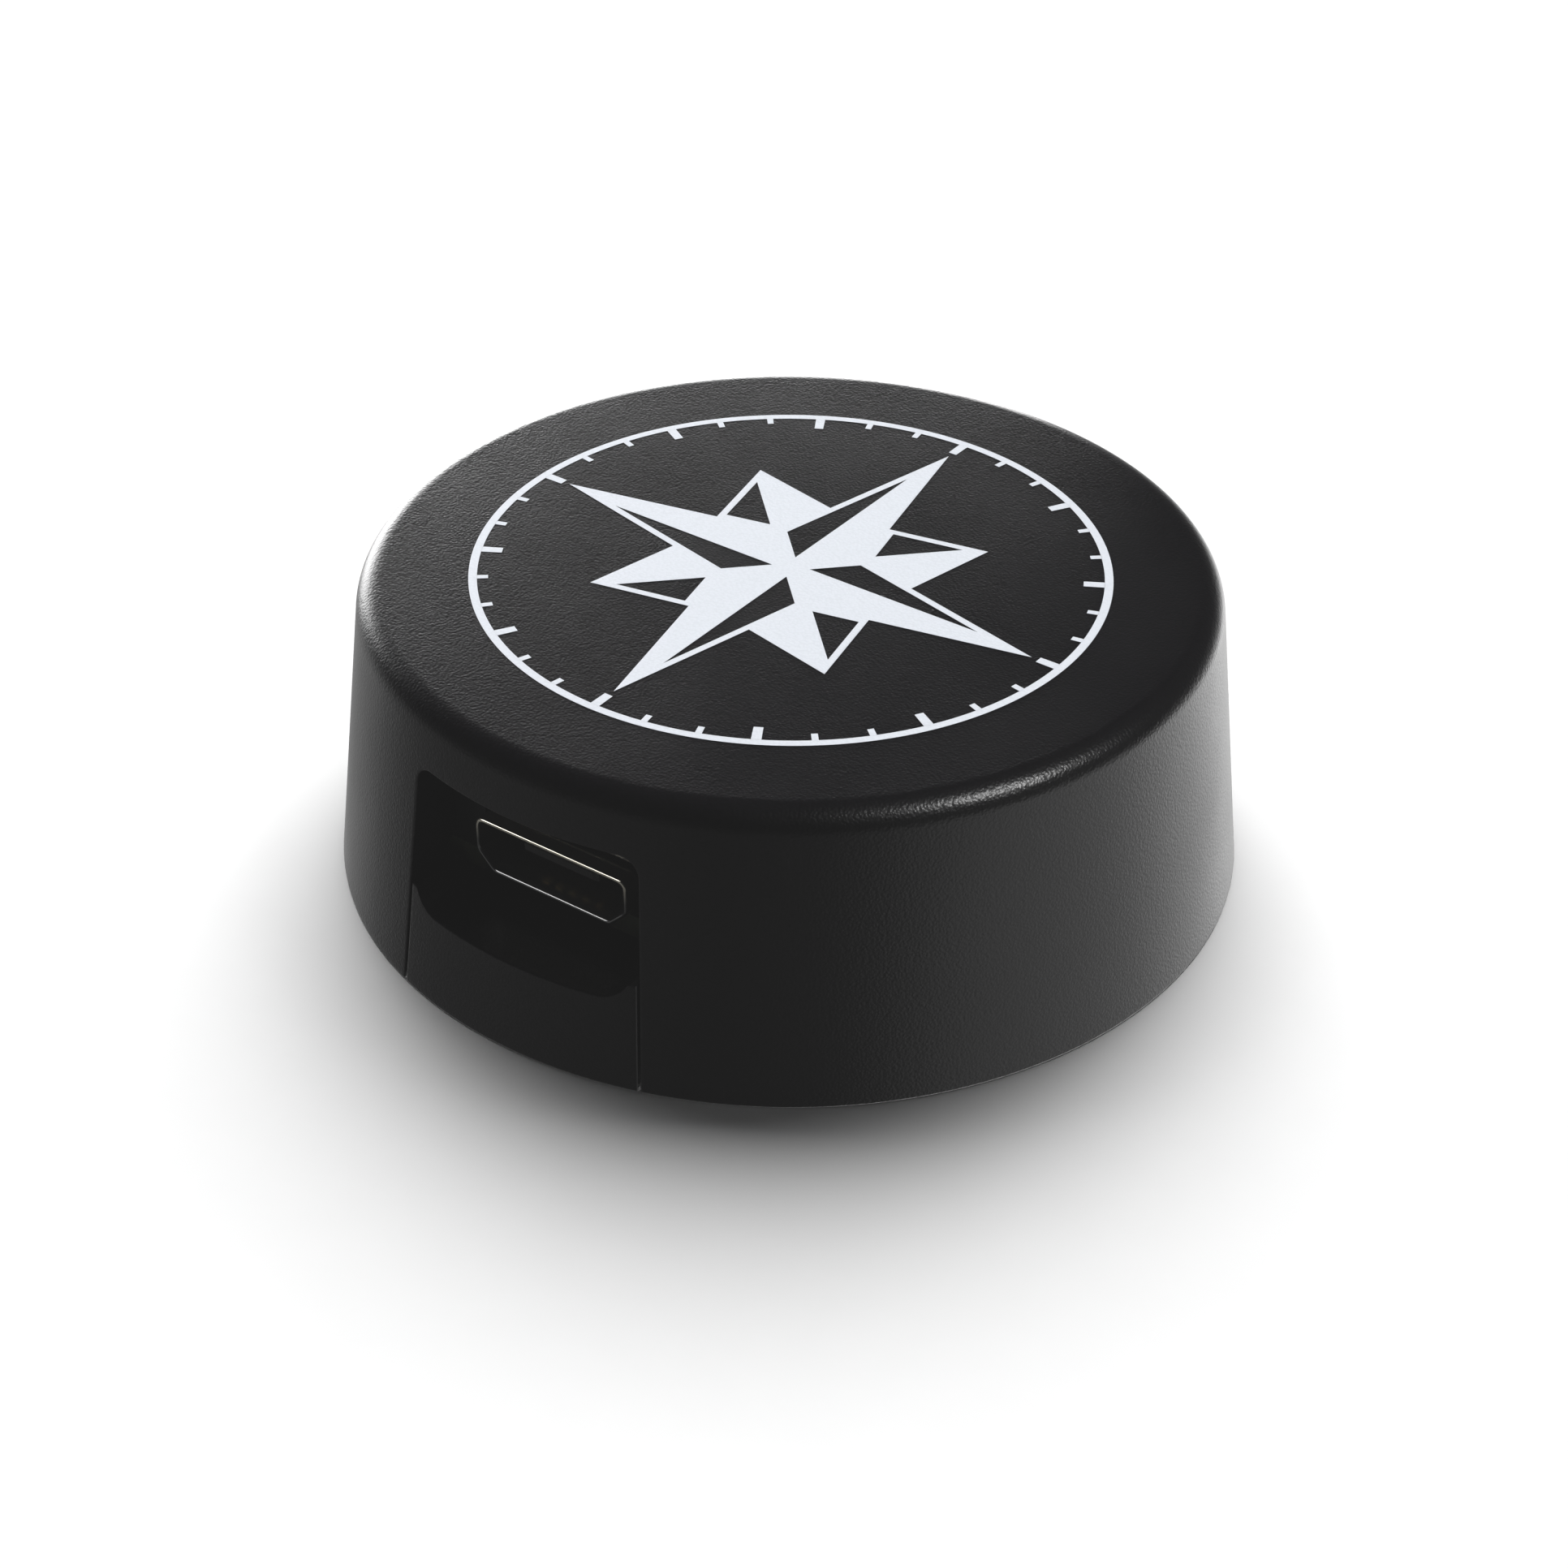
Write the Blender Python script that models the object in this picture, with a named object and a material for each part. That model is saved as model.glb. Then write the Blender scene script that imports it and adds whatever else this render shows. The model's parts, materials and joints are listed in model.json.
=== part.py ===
"""Pocket electronic bearing compass: a drafted round plastic puck that holds a heading sensor.

The base is at z = 0 and the centre line is +Z. The micro-USB port faces -Y and the
button faces +Y. The case shell is a cap; the base cover closes it from below, carries the
circuit board, and fills the lower part of the port's notch with an upright tongue.
All sizes are in metres.
"""

import math

import bmesh
import bpy
from mathutils import Matrix, Vector

MM = 0.001

# Fits
SEAT_GAP = 0.05 * MM  # between two pieces that touch on the real product
SEAM_GAP = 0.11 * MM  # the seam that shows beside the tongue
SLIDE_GAP = 0.10 * MM  # round the button's stem
HOLE_CLEARANCE = 0.2 * MM  # round screws, bosses and the receptacle

# Case shell
CASE_HEIGHT = 12.7 * MM
BASE_RADIUS = 19.0 * MM
SIDE_DRAFT = math.radians(6.4)
EDGE_RADIUS = 1.1 * MM
INNER_EDGE_RADIUS = 0.6 * MM
WALL = 1.6 * MM
ROOF = 1.4 * MM
CASE_SEGMENTS = 96

# Port notch in the side wall, open at the bottom, and the block behind it
NOTCH_HALF_WIDTH = 6.0 * MM  # at the base
NOTCH_DRAFT = math.radians(3.6)
NOTCH_TOP_CORNER = 0.9 * MM
TOP_BAND = 2.55 * MM  # from the top face down to the notch
PORT_BLOCK_SIDE = 1.4 * MM  # how far the block reaches past the notch
PORT_BLOCK_THICKNESS = 1.2 * MM
PORT_RECESS = 3.2 * MM  # from the base's edge in to the receptacle's mouth
PORT_PROUD = 0.9 * MM  # how far the receptacle stands out of the block's face

# Base cover and its tongue
COVER_THICKNESS = 1.5 * MM
COVER_GAP = 0.1 * MM
TONGUE_DROP = 0.32 * MM  # from the board's underside down to the ledge
TONGUE_CORNER = 1.6 * MM
TONGUE_HORN_TIP = 0.2 * MM
TONGUE_WALL = 1.5 * MM
TONGUE_LEDGE = 1.2 * MM
PAD_RADIUS = 2.6 * MM
PAD_HEIGHT = 0.8 * MM
STANDOFF_RADIUS = 1.7 * MM
STANDOFF_HEIGHT = 2.67 * MM

# Case screws, and the bosses and brass inserts that take them
BOSS_ANGLES = [math.radians(a) for a in (33, 147, 213, 327)]
BOSS_WALL_OFFSET = 2.95 * MM  # from the wall's inner face to a boss's axis
BOSS_RADIUS = 1.95 * MM
INSERT_RADIUS = 1.35 * MM
INSERT_LENGTH = 3.0 * MM
INSERT_GROOVE_DEPTH = 0.15 * MM
INSERT_GROOVE_WIDTH = 0.6 * MM
CASE_SCREW_RADIUS = 0.95 * MM
CASE_SCREW_LENGTH = 6.0 * MM
CASE_SCREW_HEAD_RADIUS = 1.8 * MM
CASE_SCREW_HEAD_HEIGHT = 1.05 * MM
SCREW_SUNK = 0.15 * MM
CROSS_LENGTH = 1.05  # of the head's radius
CROSS_WIDTH = 0.25  # of the head's radius
CROSS_DEPTH = 0.6  # of the head's height

# Micro-USB receptacle
USB_WIDTH = 7.5 * MM
USB_HEIGHT = 2.38 * MM
USB_LENGTH = 5.0 * MM
USB_SHEET = 0.25 * MM
USB_TOP_CORNER = 0.38 * MM
USB_LOWER_CORNER = 0.25 * MM
USB_CHAMFER = 0.83 * MM
USB_TONGUE_WIDTH = 3.7 * MM
USB_TONGUE_THICKNESS = 0.62 * MM
USB_TONGUE_RECESS = 0.55 * MM
USB_BODY_LENGTH = 1.5 * MM
USB_CONTACT_COUNT = 5
USB_CONTACT_PITCH = 0.65 * MM
USB_CONTACT_WIDTH = 0.35 * MM
USB_CONTACT_SHEET = 0.12 * MM
USB_CONTACT_SETBACK = 0.25 * MM  # from the tongue's front edge
USB_FOOT_WIDTH = 0.7 * MM
USB_FOOT_LENGTH = 1.4 * MM
USB_FOOT_INSET = 2.4 * MM  # from the mouth to the front of a foot
USB_FOOT_RISE = 1.2 * MM

# Circuit board
BOARD_THICKNESS = 1.0 * MM
BOARD_EDGE_GAP = 0.6 * MM
BOARD_FRONT_GAP = 0.2 * MM
REAR_RECESS = 4.25 * MM  # from the base's edge in to the board's rear edge
BOARD_SCREW_RADIUS = 0.6 * MM
BOARD_SCREW_HEAD_RADIUS = 1.4 * MM
BOARD_SCREW_HEAD_HEIGHT = 0.9 * MM
BOARD_SCREW_LENGTH = 3.2 * MM
BOARD_SCREW_ANGLES = [math.radians(a) for a in (60, 120, 236, 304)]
BOARD_SCREW_EDGE_INSET = 2.45 * MM  # from the board's round edge

# Circuit parts: width, length and height, and where each stands on the board
MICROCONTROLLER_SIZE = (6.0 * MM, 6.0 * MM, 0.85 * MM)
MICROCONTROLLER_STRIP_GAP = 1.6 * MM  # from the foam strip beside it
MICROCONTROLLER_Y = 2.6 * MM
CHARGER_SIZE = (3.0 * MM, 3.0 * MM, 0.8 * MM)
CHARGER_Y = -6.4 * MM
REGULATOR_SIZE = (2.9 * MM, 1.6 * MM, 1.1 * MM)
REGULATOR_PLACE = (-1.6 * MM, -7.0 * MM)
INDUCTOR_SIZE = (3.0 * MM, 3.0 * MM, 1.2 * MM)
INDUCTOR_STRIP_GAP = 0.7 * MM  # from the other foam strip
INDUCTOR_Y = -2.4 * MM
CRYSTAL_SIZE = (2.5 * MM, 2.0 * MM, 0.6 * MM)
CRYSTAL_GAP = 1.6 * MM  # from the microcontroller
SHIELD_SIZE = (9.0 * MM, 9.0 * MM, 1.5 * MM)
SHIELD_PLACE = (-5.6 * MM, -0.5 * MM)
ANTENNA_SIZE = (1.6 * MM, 4.0 * MM, 1.2 * MM)
ANTENNA_EDGE_INSET = 2.8 * MM  # from the board's round edge
HEADING_SENSOR_SIZE = (3.0 * MM, 3.0 * MM, 1.0 * MM)
HEADING_SENSOR_EDGE_INSET = 4.6 * MM
MOTION_SENSOR_SIZE = (2.5 * MM, 3.0 * MM, 0.85 * MM)
MOTION_SENSOR_PLACE = (4.6 * MM, 3.2 * MM)
CAPACITOR_SIZE = (0.8 * MM, 1.6 * MM, 0.8 * MM)
RESISTOR_SIZE = (1.6 * MM, 0.8 * MM, 0.45 * MM)
CHIP_ROW_GAP = 2.4 * MM  # from the microcontroller to the row of small parts below it
SMALL_PART_PITCH = 2.2 * MM
REAR_ROW_INSET = 6.25 * MM  # from the board's rear edge
REAR_ROW_FIRST_X = 1.0 * MM

# Battery: the cell fills what the pieces round it leave
COMPONENT_ROOM = 1.83 * MM  # between the board and the cell
CELL_BOSS_GAP = 0.17 * MM
CELL_PORT_GAP = 1.1 * MM
CELL_SWITCH_GAP = 1.6 * MM
CELL_EDGE_RADIUS = 0.7 * MM
CELL_PAD_MARGIN = 2.0 * MM
CELL_PAD_THICKNESS = 0.35 * MM
FOAM_STRIP_WIDTH = 1.6 * MM
FOAM_STRIP_SIDE_MARGIN = 0.6 * MM
FOAM_STRIP_END_MARGIN = 3.5 * MM
STRIP_THICKNESS = 1.3 * MM
STRIP_END_MARGIN = 3.5 * MM
STRIP_EDGE_MARGIN = 0.5 * MM
TAB_WIDTH = 2.2 * MM
TAB_SHEET = 0.15 * MM
TAB_EDGE_MARGIN = 0.15 * MM
TAB_OFFSET = 3.5 * MM
LEAD_ROOM = 0.45 * MM  # between the strip and a boss

# Battery connector and leads
SOCKET_EDGE_INSET = 3.0 * MM  # from the board's round edge
SOCKET_WIDTH = 2.9 * MM
SOCKET_LENGTH = 4.2 * MM
SOCKET_HEIGHT = 3.0 * MM
SOCKET_WALL = 0.4 * MM
SOCKET_FLOOR = 0.6 * MM
PLUG_PROUD = 0.6 * MM
PLUG_BARREL_DEPTH = 2.0 * MM
PIN_SIDE = 0.35 * MM
PIN_LENGTH = 1.7 * MM
LEAD_PITCH = 1.1 * MM
LEAD_RADIUS = 0.38 * MM
LEAD_SPREAD = 1.6 * MM  # from the plug's centre, where a lead leaves the strip
LEAD_RISE = 0.7 * MM  # height of a lead's loop above the plug

# Button and its switch
SWITCH_WIDTH = 4.7 * MM
SWITCH_LENGTH = 2.85 * MM
SWITCH_HEIGHT = 1.5 * MM
SWITCH_SHEET = 0.15 * MM
PLUNGER_WIDTH = 2.2 * MM
PLUNGER_HEIGHT = 0.6 * MM
PLUNGER_INSIDE = 0.9 * MM
PLUNGER_PROUD = 0.45 * MM
PLUNGER_ROOM = 0.15 * MM  # above and below the plunger
DOME_ROOM = 0.75 * MM  # behind the pressed plunger
BUTTON_TRAVEL = 0.25 * MM
BUTTON_WIDTH = 6.4 * MM
BUTTON_HEIGHT = 2.6 * MM
BUTTON_PROUD = 0.3 * MM
FLANGE_MARGIN = 0.8 * MM

# Status light
LIGHT_GAP = 0.35 * MM  # between the button's flange and the light pipe's
LIGHT_RADIUS = 0.8 * MM
LIGHT_FLANGE_MARGIN = 0.35 * MM
LED_WIDTH = 1.6 * MM
LED_LENGTH = 0.8 * MM
LED_HEIGHT = 0.7 * MM

CUTTER_REACH = 2.0 * MM  # how far a cutter runs past the faces it cuts


def outer_radius(z):
    """Outside radius of the drafted side wall at height z."""
    return BASE_RADIUS - z * math.tan(SIDE_DRAFT)


def inner_radius(z):
    return outer_radius(z) - WALL


def notch_half_width(z):
    """Half the width of the port's notch at height z: it narrows upwards."""
    return NOTCH_HALF_WIDTH - z * math.tan(NOTCH_DRAFT)


def on_circle(radius, angles):
    return [(radius * math.cos(a), radius * math.sin(a)) for a in angles]


# Heights that follow from the sizes above
STANDOFF_TOP = COVER_THICKNESS + STANDOFF_HEIGHT
BOARD_BOTTOM = STANDOFF_TOP + SEAT_GAP
BOARD_TOP = BOARD_BOTTOM + BOARD_THICKNESS
USB_BOTTOM = BOARD_TOP + SEAT_GAP
USB_TOP = USB_BOTTOM + USB_HEIGHT
TONGUE_TOP = BOARD_BOTTOM - TONGUE_DROP
NOTCH_TOP = CASE_HEIGHT - TOP_BAND
ROOF_INSIDE = CASE_HEIGHT - ROOF
BOSS_BOTTOM = COVER_THICKNESS + PAD_HEIGHT + SEAT_GAP
BUTTON_CENTRE_Z = BOARD_TOP + SEAT_GAP + SWITCH_HEIGHT / 2

# Places that follow: distances from the centre line
USB_MOUTH = BASE_RADIUS - PORT_RECESS
USB_REAR = USB_MOUTH - USB_LENGTH
PORT_BLOCK_FACE = USB_MOUTH - PORT_PROUD
PORT_BLOCK_BACK = PORT_BLOCK_FACE - PORT_BLOCK_THICKNESS
BOARD_RADIUS = inner_radius(BOARD_TOP) - BOARD_EDGE_GAP
BOARD_FRONT = PORT_BLOCK_FACE - BOARD_FRONT_GAP
BOARD_REAR = BASE_RADIUS - REAR_RECESS
BUTTON_INNER_FACE = BOARD_REAR + PLUNGER_PROUD + SEAT_GAP
BUTTON_FLANGE_EDGE = BUTTON_WIDTH / 2 - SLIDE_GAP + FLANGE_MARGIN
LIGHT_X = BUTTON_FLANGE_EDGE + LIGHT_GAP + LIGHT_RADIUS + LIGHT_FLANGE_MARGIN
SOCKET_X = BOARD_RADIUS - SOCKET_EDGE_INSET
BOSS_PLACES = on_circle(inner_radius(0) - BOSS_WALL_OFFSET, BOSS_ANGLES)
BOARD_SCREW_PLACES = on_circle(BOARD_RADIUS - BOARD_SCREW_EDGE_INSET, BOARD_SCREW_ANGLES)

# The cell's box: between the bosses and the strip, the receptacle and the switch
CELL_SIDE = BOSS_PLACES[0][0] - BOSS_RADIUS - CELL_BOSS_GAP
STRIP_OUTER_FACE = CELL_SIDE - LEAD_ROOM
STRIP_INNER_FACE = STRIP_OUTER_FACE - STRIP_THICKNESS
CELL_LOW = Vector((-CELL_SIDE, CELL_PORT_GAP - USB_REAR, BOARD_TOP + COMPONENT_ROOM))
CELL_HIGH = Vector(
    (
        STRIP_INNER_FACE - TAB_SHEET - 2 * SEAT_GAP,
        BOARD_REAR - SWITCH_LENGTH - CELL_SWITCH_GAP,
        ROOF_INSIDE - CELL_PAD_THICKNESS - 2 * SEAT_GAP,
    )
)
CELL_MIDDLE = (CELL_LOW + CELL_HIGH) / 2
FOAM_STRIP_INSET = FOAM_STRIP_SIDE_MARGIN + FOAM_STRIP_WIDTH / 2

# Columns of circuit parts between the two foam strips, and two rows of small parts
CHIP_X = CELL_LOW.x + FOAM_STRIP_SIDE_MARGIN + FOAM_STRIP_WIDTH
CHIP_X += MICROCONTROLLER_STRIP_GAP + MICROCONTROLLER_SIZE[0] / 2
POWER_X = CELL_HIGH.x - FOAM_STRIP_SIDE_MARGIN - FOAM_STRIP_WIDTH
POWER_X -= INDUCTOR_STRIP_GAP + INDUCTOR_SIZE[0] / 2
CHIP_ROW_Y = MICROCONTROLLER_Y - MICROCONTROLLER_SIZE[1] / 2 - CHIP_ROW_GAP
REAR_ROW_Y = BOARD_REAR - REAR_ROW_INSET
CAPACITOR_PLACES = [
    (POWER_X, MICROCONTROLLER_Y),
    (POWER_X, MICROCONTROLLER_Y + SMALL_PART_PITCH),
    (CHIP_X - SMALL_PART_PITCH / 2, CHIP_ROW_Y),
    (REAR_ROW_FIRST_X + 2 * SMALL_PART_PITCH, REAR_ROW_Y),
]
RESISTOR_PLACES = [
    (CHIP_X + SMALL_PART_PITCH / 2, CHIP_ROW_Y),
    (REAR_ROW_FIRST_X, REAR_ROW_Y),
    (REAR_ROW_FIRST_X + SMALL_PART_PITCH, REAR_ROW_Y),
]


# ---------------------------------------------------------------- tools


def clear_scene():
    for old in list(bpy.data.objects):
        bpy.data.objects.remove(old)


def finish(name, colour, roughness, metallic=0.0):
    """A plain Principled material."""
    material = bpy.data.materials.new(name)
    material.use_nodes = True
    shader = material.node_tree.nodes["Principled BSDF"]
    shader.inputs["Base Color"].default_value = (*colour, 1.0)
    shader.inputs["Roughness"].default_value = roughness
    shader.inputs["Metallic"].default_value = metallic
    return material


def piece(name, bm, material=None):
    """Turns a bmesh into a named object with its faces pointing out."""
    bmesh.ops.recalc_face_normals(bm, faces=bm.faces)
    mesh = bpy.data.meshes.new(name)
    bm.to_mesh(mesh)
    bm.free()
    made = bpy.data.objects.new(name, mesh)
    bpy.context.collection.objects.link(made)
    if material:
        mesh.materials.append(material)
    mesh.shade_smooth()
    mesh.set_sharp_from_angle(angle=math.radians(30))
    return made


def settle(made):
    """Applies the modifiers, so that copies can share the finished mesh."""
    bpy.context.view_layer.update()
    graph = bpy.context.evaluated_depsgraph_get()
    mesh = bpy.data.meshes.new_from_object(made.evaluated_get(graph))
    made.modifiers.clear()
    made.data = mesh
    return made


def repeat(first, places):
    """Moves a piece to the first place and puts a numbered copy of it at each of the others."""
    name = first.name
    for number, place in enumerate(places, 1):
        copy = first
        if number > 1:
            copy = bpy.data.objects.new(name, first.data)
            bpy.context.collection.objects.link(copy)
        copy.name = f"{name}_{number}"
        copy.location = place


def helper(name, bm):
    """An object that only cuts, joins or trims others."""
    made = piece(name, bm)
    made.hide_render = True
    made.display_type = "WIRE"
    return made


def combine(target, operation, other):
    """A live Boolean: UNION, DIFFERENCE or INTERSECT."""
    modifier = target.modifiers.new(other.name, "BOOLEAN")
    modifier.operation = operation
    modifier.solver = "EXACT"
    modifier.object = other
    return target


def add_box(bm, low, high):
    low, high = Vector(low), Vector(high)
    place = Matrix.Translation((low + high) / 2) @ Matrix.Diagonal((*(high - low), 1.0))
    bmesh.ops.create_cube(bm, size=1.0, matrix=place)


def add_centred_box(bm, centre, size):
    centre, half = Vector(centre), Vector(size) / 2
    add_box(bm, centre - half, centre + half)


def add_prism(bm, outline, low, high, along="Z"):
    """Extrudes an outline of (u, v) points. Along Z, u and v are x and y; along Y, x and z."""
    if along == "Z":
        corners = [(u, v, low) for u, v in outline]
        step = (0, 0, high - low)
    else:
        corners = [(u, low, v) for u, v in outline]
        step = (0, high - low, 0)
    face = bm.faces.new([bm.verts.new(c) for c in corners])
    grown = bmesh.ops.extrude_face_region(bm, geom=[face])["geom"]
    moved = [v for v in grown if isinstance(v, bmesh.types.BMVert)]
    bmesh.ops.translate(bm, verts=moved, vec=step)


def add_turned(bm, profile, segments, centre=(0, 0, 0), along="Z", ring=False):
    """Spins a chain of (radius, height) points about an axis. A ring's chain is closed."""
    chain = [bm.verts.new((r, 0, h)) for r, h in profile]
    links = list(zip(chain, chain[1:] + chain[:1] if ring else chain[1:]))
    edges = [bm.edges.new(pair) for pair in links]
    before = set(bm.verts) - set(chain)
    bmesh.ops.spin(
        bm,
        geom=chain + edges,
        cent=(0, 0, 0),
        axis=(0, 0, 1),
        angle=2 * math.pi,
        steps=segments,
        use_merge=True,
    )
    new = [v for v in bm.verts if v not in before]
    bmesh.ops.remove_doubles(bm, verts=new, dist=1e-7)
    new = [v for v in bm.verts if v not in before]
    turn = Matrix.Identity(4) if along == "Z" else Matrix.Rotation(-math.pi / 2, 4, "X")
    bmesh.ops.transform(bm, matrix=Matrix.Translation(centre) @ turn, verts=new)


def add_cylinder(bm, radius, low, high, at=(0, 0), segments=20):
    """An upright cylinder."""
    add_turned(bm, [(0, low), (radius, low), (radius, high), (0, high)], segments, (*at, 0))


def arc(centre, radius, start, end, steps):
    """Points on an arc, both ends included. Angles are in radians."""
    turns = [start + (end - start) * i / steps for i in range(steps + 1)]
    return [(centre[0] + radius * math.cos(t), centre[1] + radius * math.sin(t)) for t in turns]


def circle(centre, radius, segments):
    return arc(centre, radius, 0, 2 * math.pi, segments)[:-1]


def rounded(corners, steps=5):
    """A closed outline whose corners (x, y, radius) are rounded; a radius of 0 stays sharp."""
    outline = []
    count = len(corners)
    for i, (x, y, radius) in enumerate(corners):
        here = Vector((x, y))
        if radius == 0:
            outline.append((x, y))
            continue
        back = (Vector(corners[i - 1][:2]) - here).normalized()
        ahead = (Vector(corners[(i + 1) % count][:2]) - here).normalized()
        half = back.angle(ahead) / 2
        middle = here + (back + ahead).normalized() * (radius / math.sin(half))
        first = here + back * (radius / math.tan(half)) - middle
        sweep = first.angle_signed(here + ahead * (radius / math.tan(half)) - middle)
        start = math.atan2(first.y, first.x)
        outline += arc(middle, radius, start, start - sweep, steps)
    return outline


def stadium(width, height, centre, steps=8):
    """A slot outline with round ends, longer along its first axis."""
    radius = height / 2
    run = width / 2 - radius
    u, v = centre
    right = arc((u + run, v), radius, -math.pi / 2, math.pi / 2, steps)
    left = arc((u - run, v), radius, math.pi / 2, 3 * math.pi / 2, steps)
    return right + left


# ---------------------------------------------------------------- shared forms


def drafted_core(name, offset, low=-CUTTER_REACH, high=CASE_HEIGHT + CUTTER_REACH):
    """A solid cone frustum that follows the side wall at an offset from its outer face."""
    bm = bmesh.new()
    profile = [
        (0, low),
        (outer_radius(low) + offset, low),
        (outer_radius(high) + offset, high),
        (0, high),
    ]
    add_turned(bm, profile, CASE_SEGMENTS)
    return helper(name, bm)


def usb_outline(inset):
    """Front outline of the receptacle: wide at the top, with chamfered lower corners."""
    half = USB_WIDTH / 2 - inset
    top = USB_TOP - inset
    low = USB_BOTTOM + inset
    chamfer = USB_CHAMFER - inset * (2 - math.sqrt(2))
    corner = USB_TOP_CORNER - inset / 2
    right = [
        (half, top, corner),
        (half, low + chamfer, USB_LOWER_CORNER),
        (half - chamfer, low, USB_LOWER_CORNER),
    ]
    return rounded(right + [(-x, z, r) for x, z, r in reversed(right)], steps=3)


# ---------------------------------------------------------------- case


def case_profile():
    """Half section of the cap, from the top's centre down the outside and back up inside."""
    z_edge = CASE_HEIGHT - EDGE_RADIUS
    centre = (outer_radius(z_edge) - EDGE_RADIUS / math.cos(SIDE_DRAFT), z_edge)
    outside = arc(centre, EDGE_RADIUS, math.pi / 2, SIDE_DRAFT, 6)
    z_inner = ROOF_INSIDE - INNER_EDGE_RADIUS
    inner_centre = (inner_radius(z_inner) - INNER_EDGE_RADIUS / math.cos(SIDE_DRAFT), z_inner)
    inside = arc(inner_centre, INNER_EDGE_RADIUS, SIDE_DRAFT, math.pi / 2, 3)
    return (
        [(0, CASE_HEIGHT)]
        + outside
        + [(outer_radius(0), 0), (inner_radius(0), 0)]
        + inside
        + [(0, ROOF_INSIDE)]
    )


def case_shell(material):
    bm = bmesh.new()
    add_turned(bm, case_profile(), CASE_SEGMENTS)
    shell = piece("case_shell", bm, material)

    additions = bmesh.new()
    embedded = ROOF_INSIDE + ROOF / 2
    for place in BOSS_PLACES:
        add_cylinder(additions, BOSS_RADIUS, BOSS_BOTTOM, embedded, place, 24)
    combine(shell, "UNION", helper("boss_posts", additions))

    block = bmesh.new()
    half = NOTCH_HALF_WIDTH + PORT_BLOCK_SIDE
    mid_wall = inner_radius((BOARD_TOP + ROOF_INSIDE) / 2) + WALL / 2
    reach = math.asin(half / mid_wall)
    curve = arc((0, 0), mid_wall, -math.pi / 2 + reach, -math.pi / 2 - reach, 12)
    outline = curve + [(-half, -PORT_BLOCK_BACK), (half, -PORT_BLOCK_BACK)]
    add_prism(block, outline, BOARD_TOP + 3 * SEAT_GAP, embedded)
    combine(shell, "UNION", helper("port_block", block))

    notch = bmesh.new()
    below = -CUTTER_REACH
    outline = rounded(
        [
            (notch_half_width(below), below, 0),
            (notch_half_width(NOTCH_TOP), NOTCH_TOP, NOTCH_TOP_CORNER),
            (-notch_half_width(NOTCH_TOP), NOTCH_TOP, NOTCH_TOP_CORNER),
            (-notch_half_width(below), below, 0),
        ]
    )
    add_prism(notch, outline, -(BASE_RADIUS + CUTTER_REACH), -PORT_BLOCK_FACE, "Y")
    combine(shell, "DIFFERENCE", helper("notch_cutter", notch))

    slot = bmesh.new()
    half = USB_WIDTH / 2 + HOLE_CLEARANCE
    add_box(
        slot,
        (-half, -(PORT_BLOCK_FACE + CUTTER_REACH), BOARD_BOTTOM),
        (half, CUTTER_REACH - PORT_BLOCK_BACK, USB_TOP + HOLE_CLEARANCE),
    )
    combine(shell, "DIFFERENCE", helper("receptacle_slot_cutter", slot))

    bores = bmesh.new()
    pocket_end = BOSS_BOTTOM + 2 * SEAT_GAP + INSERT_LENGTH
    bore_end = COVER_THICKNESS + PAD_HEIGHT + CASE_SCREW_LENGTH
    for x, y in BOSS_PLACES:
        profile = [
            (0, BOSS_BOTTOM - CUTTER_REACH),
            (INSERT_RADIUS + SEAT_GAP, BOSS_BOTTOM - CUTTER_REACH),
            (INSERT_RADIUS + SEAT_GAP, pocket_end),
            (CASE_SCREW_RADIUS + HOLE_CLEARANCE, pocket_end),
            (CASE_SCREW_RADIUS + HOLE_CLEARANCE, bore_end),
            (0, bore_end),
        ]
        add_turned(bores, profile, 20, (x, y, 0))
    combine(shell, "DIFFERENCE", helper("boss_bore_cutter", bores))

    openings = bmesh.new()
    button_hole = stadium(BUTTON_WIDTH, BUTTON_HEIGHT, (0, BUTTON_CENTRE_Z))
    add_prism(openings, button_hole, BOARD_REAR, BASE_RADIUS + CUTTER_REACH, "Y")
    radius = LIGHT_RADIUS + SEAT_GAP
    light_hole = circle((LIGHT_X, BUTTON_CENTRE_Z), radius, 16)
    add_prism(openings, light_hole, BOARD_REAR, BASE_RADIUS + CUTTER_REACH, "Y")
    combine(shell, "DIFFERENCE", helper("rear_opening_cutter", openings))
    return shell


def tongue_outline():
    """Front outline of the tongue: its upper edge dips between two tapering horns."""
    gap = SEAM_GAP / math.cos(NOTCH_DRAFT)
    dip = TONGUE_TOP + TONGUE_CORNER
    window = notch_half_width(dip) - gap
    sweep = math.acos(1 - TONGUE_HORN_TIP / TONGUE_CORNER)
    centre = (window - TONGUE_CORNER, dip)
    right = arc(centre, TONGUE_CORNER, -math.pi / 2, -sweep, 6)
    horn_z = right[-1][1]
    right.append((notch_half_width(horn_z) - gap, horn_z))
    right.append((notch_half_width(0) - gap, 0))
    left = [(-u, v) for u, v in reversed(right)]
    return left + right


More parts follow.
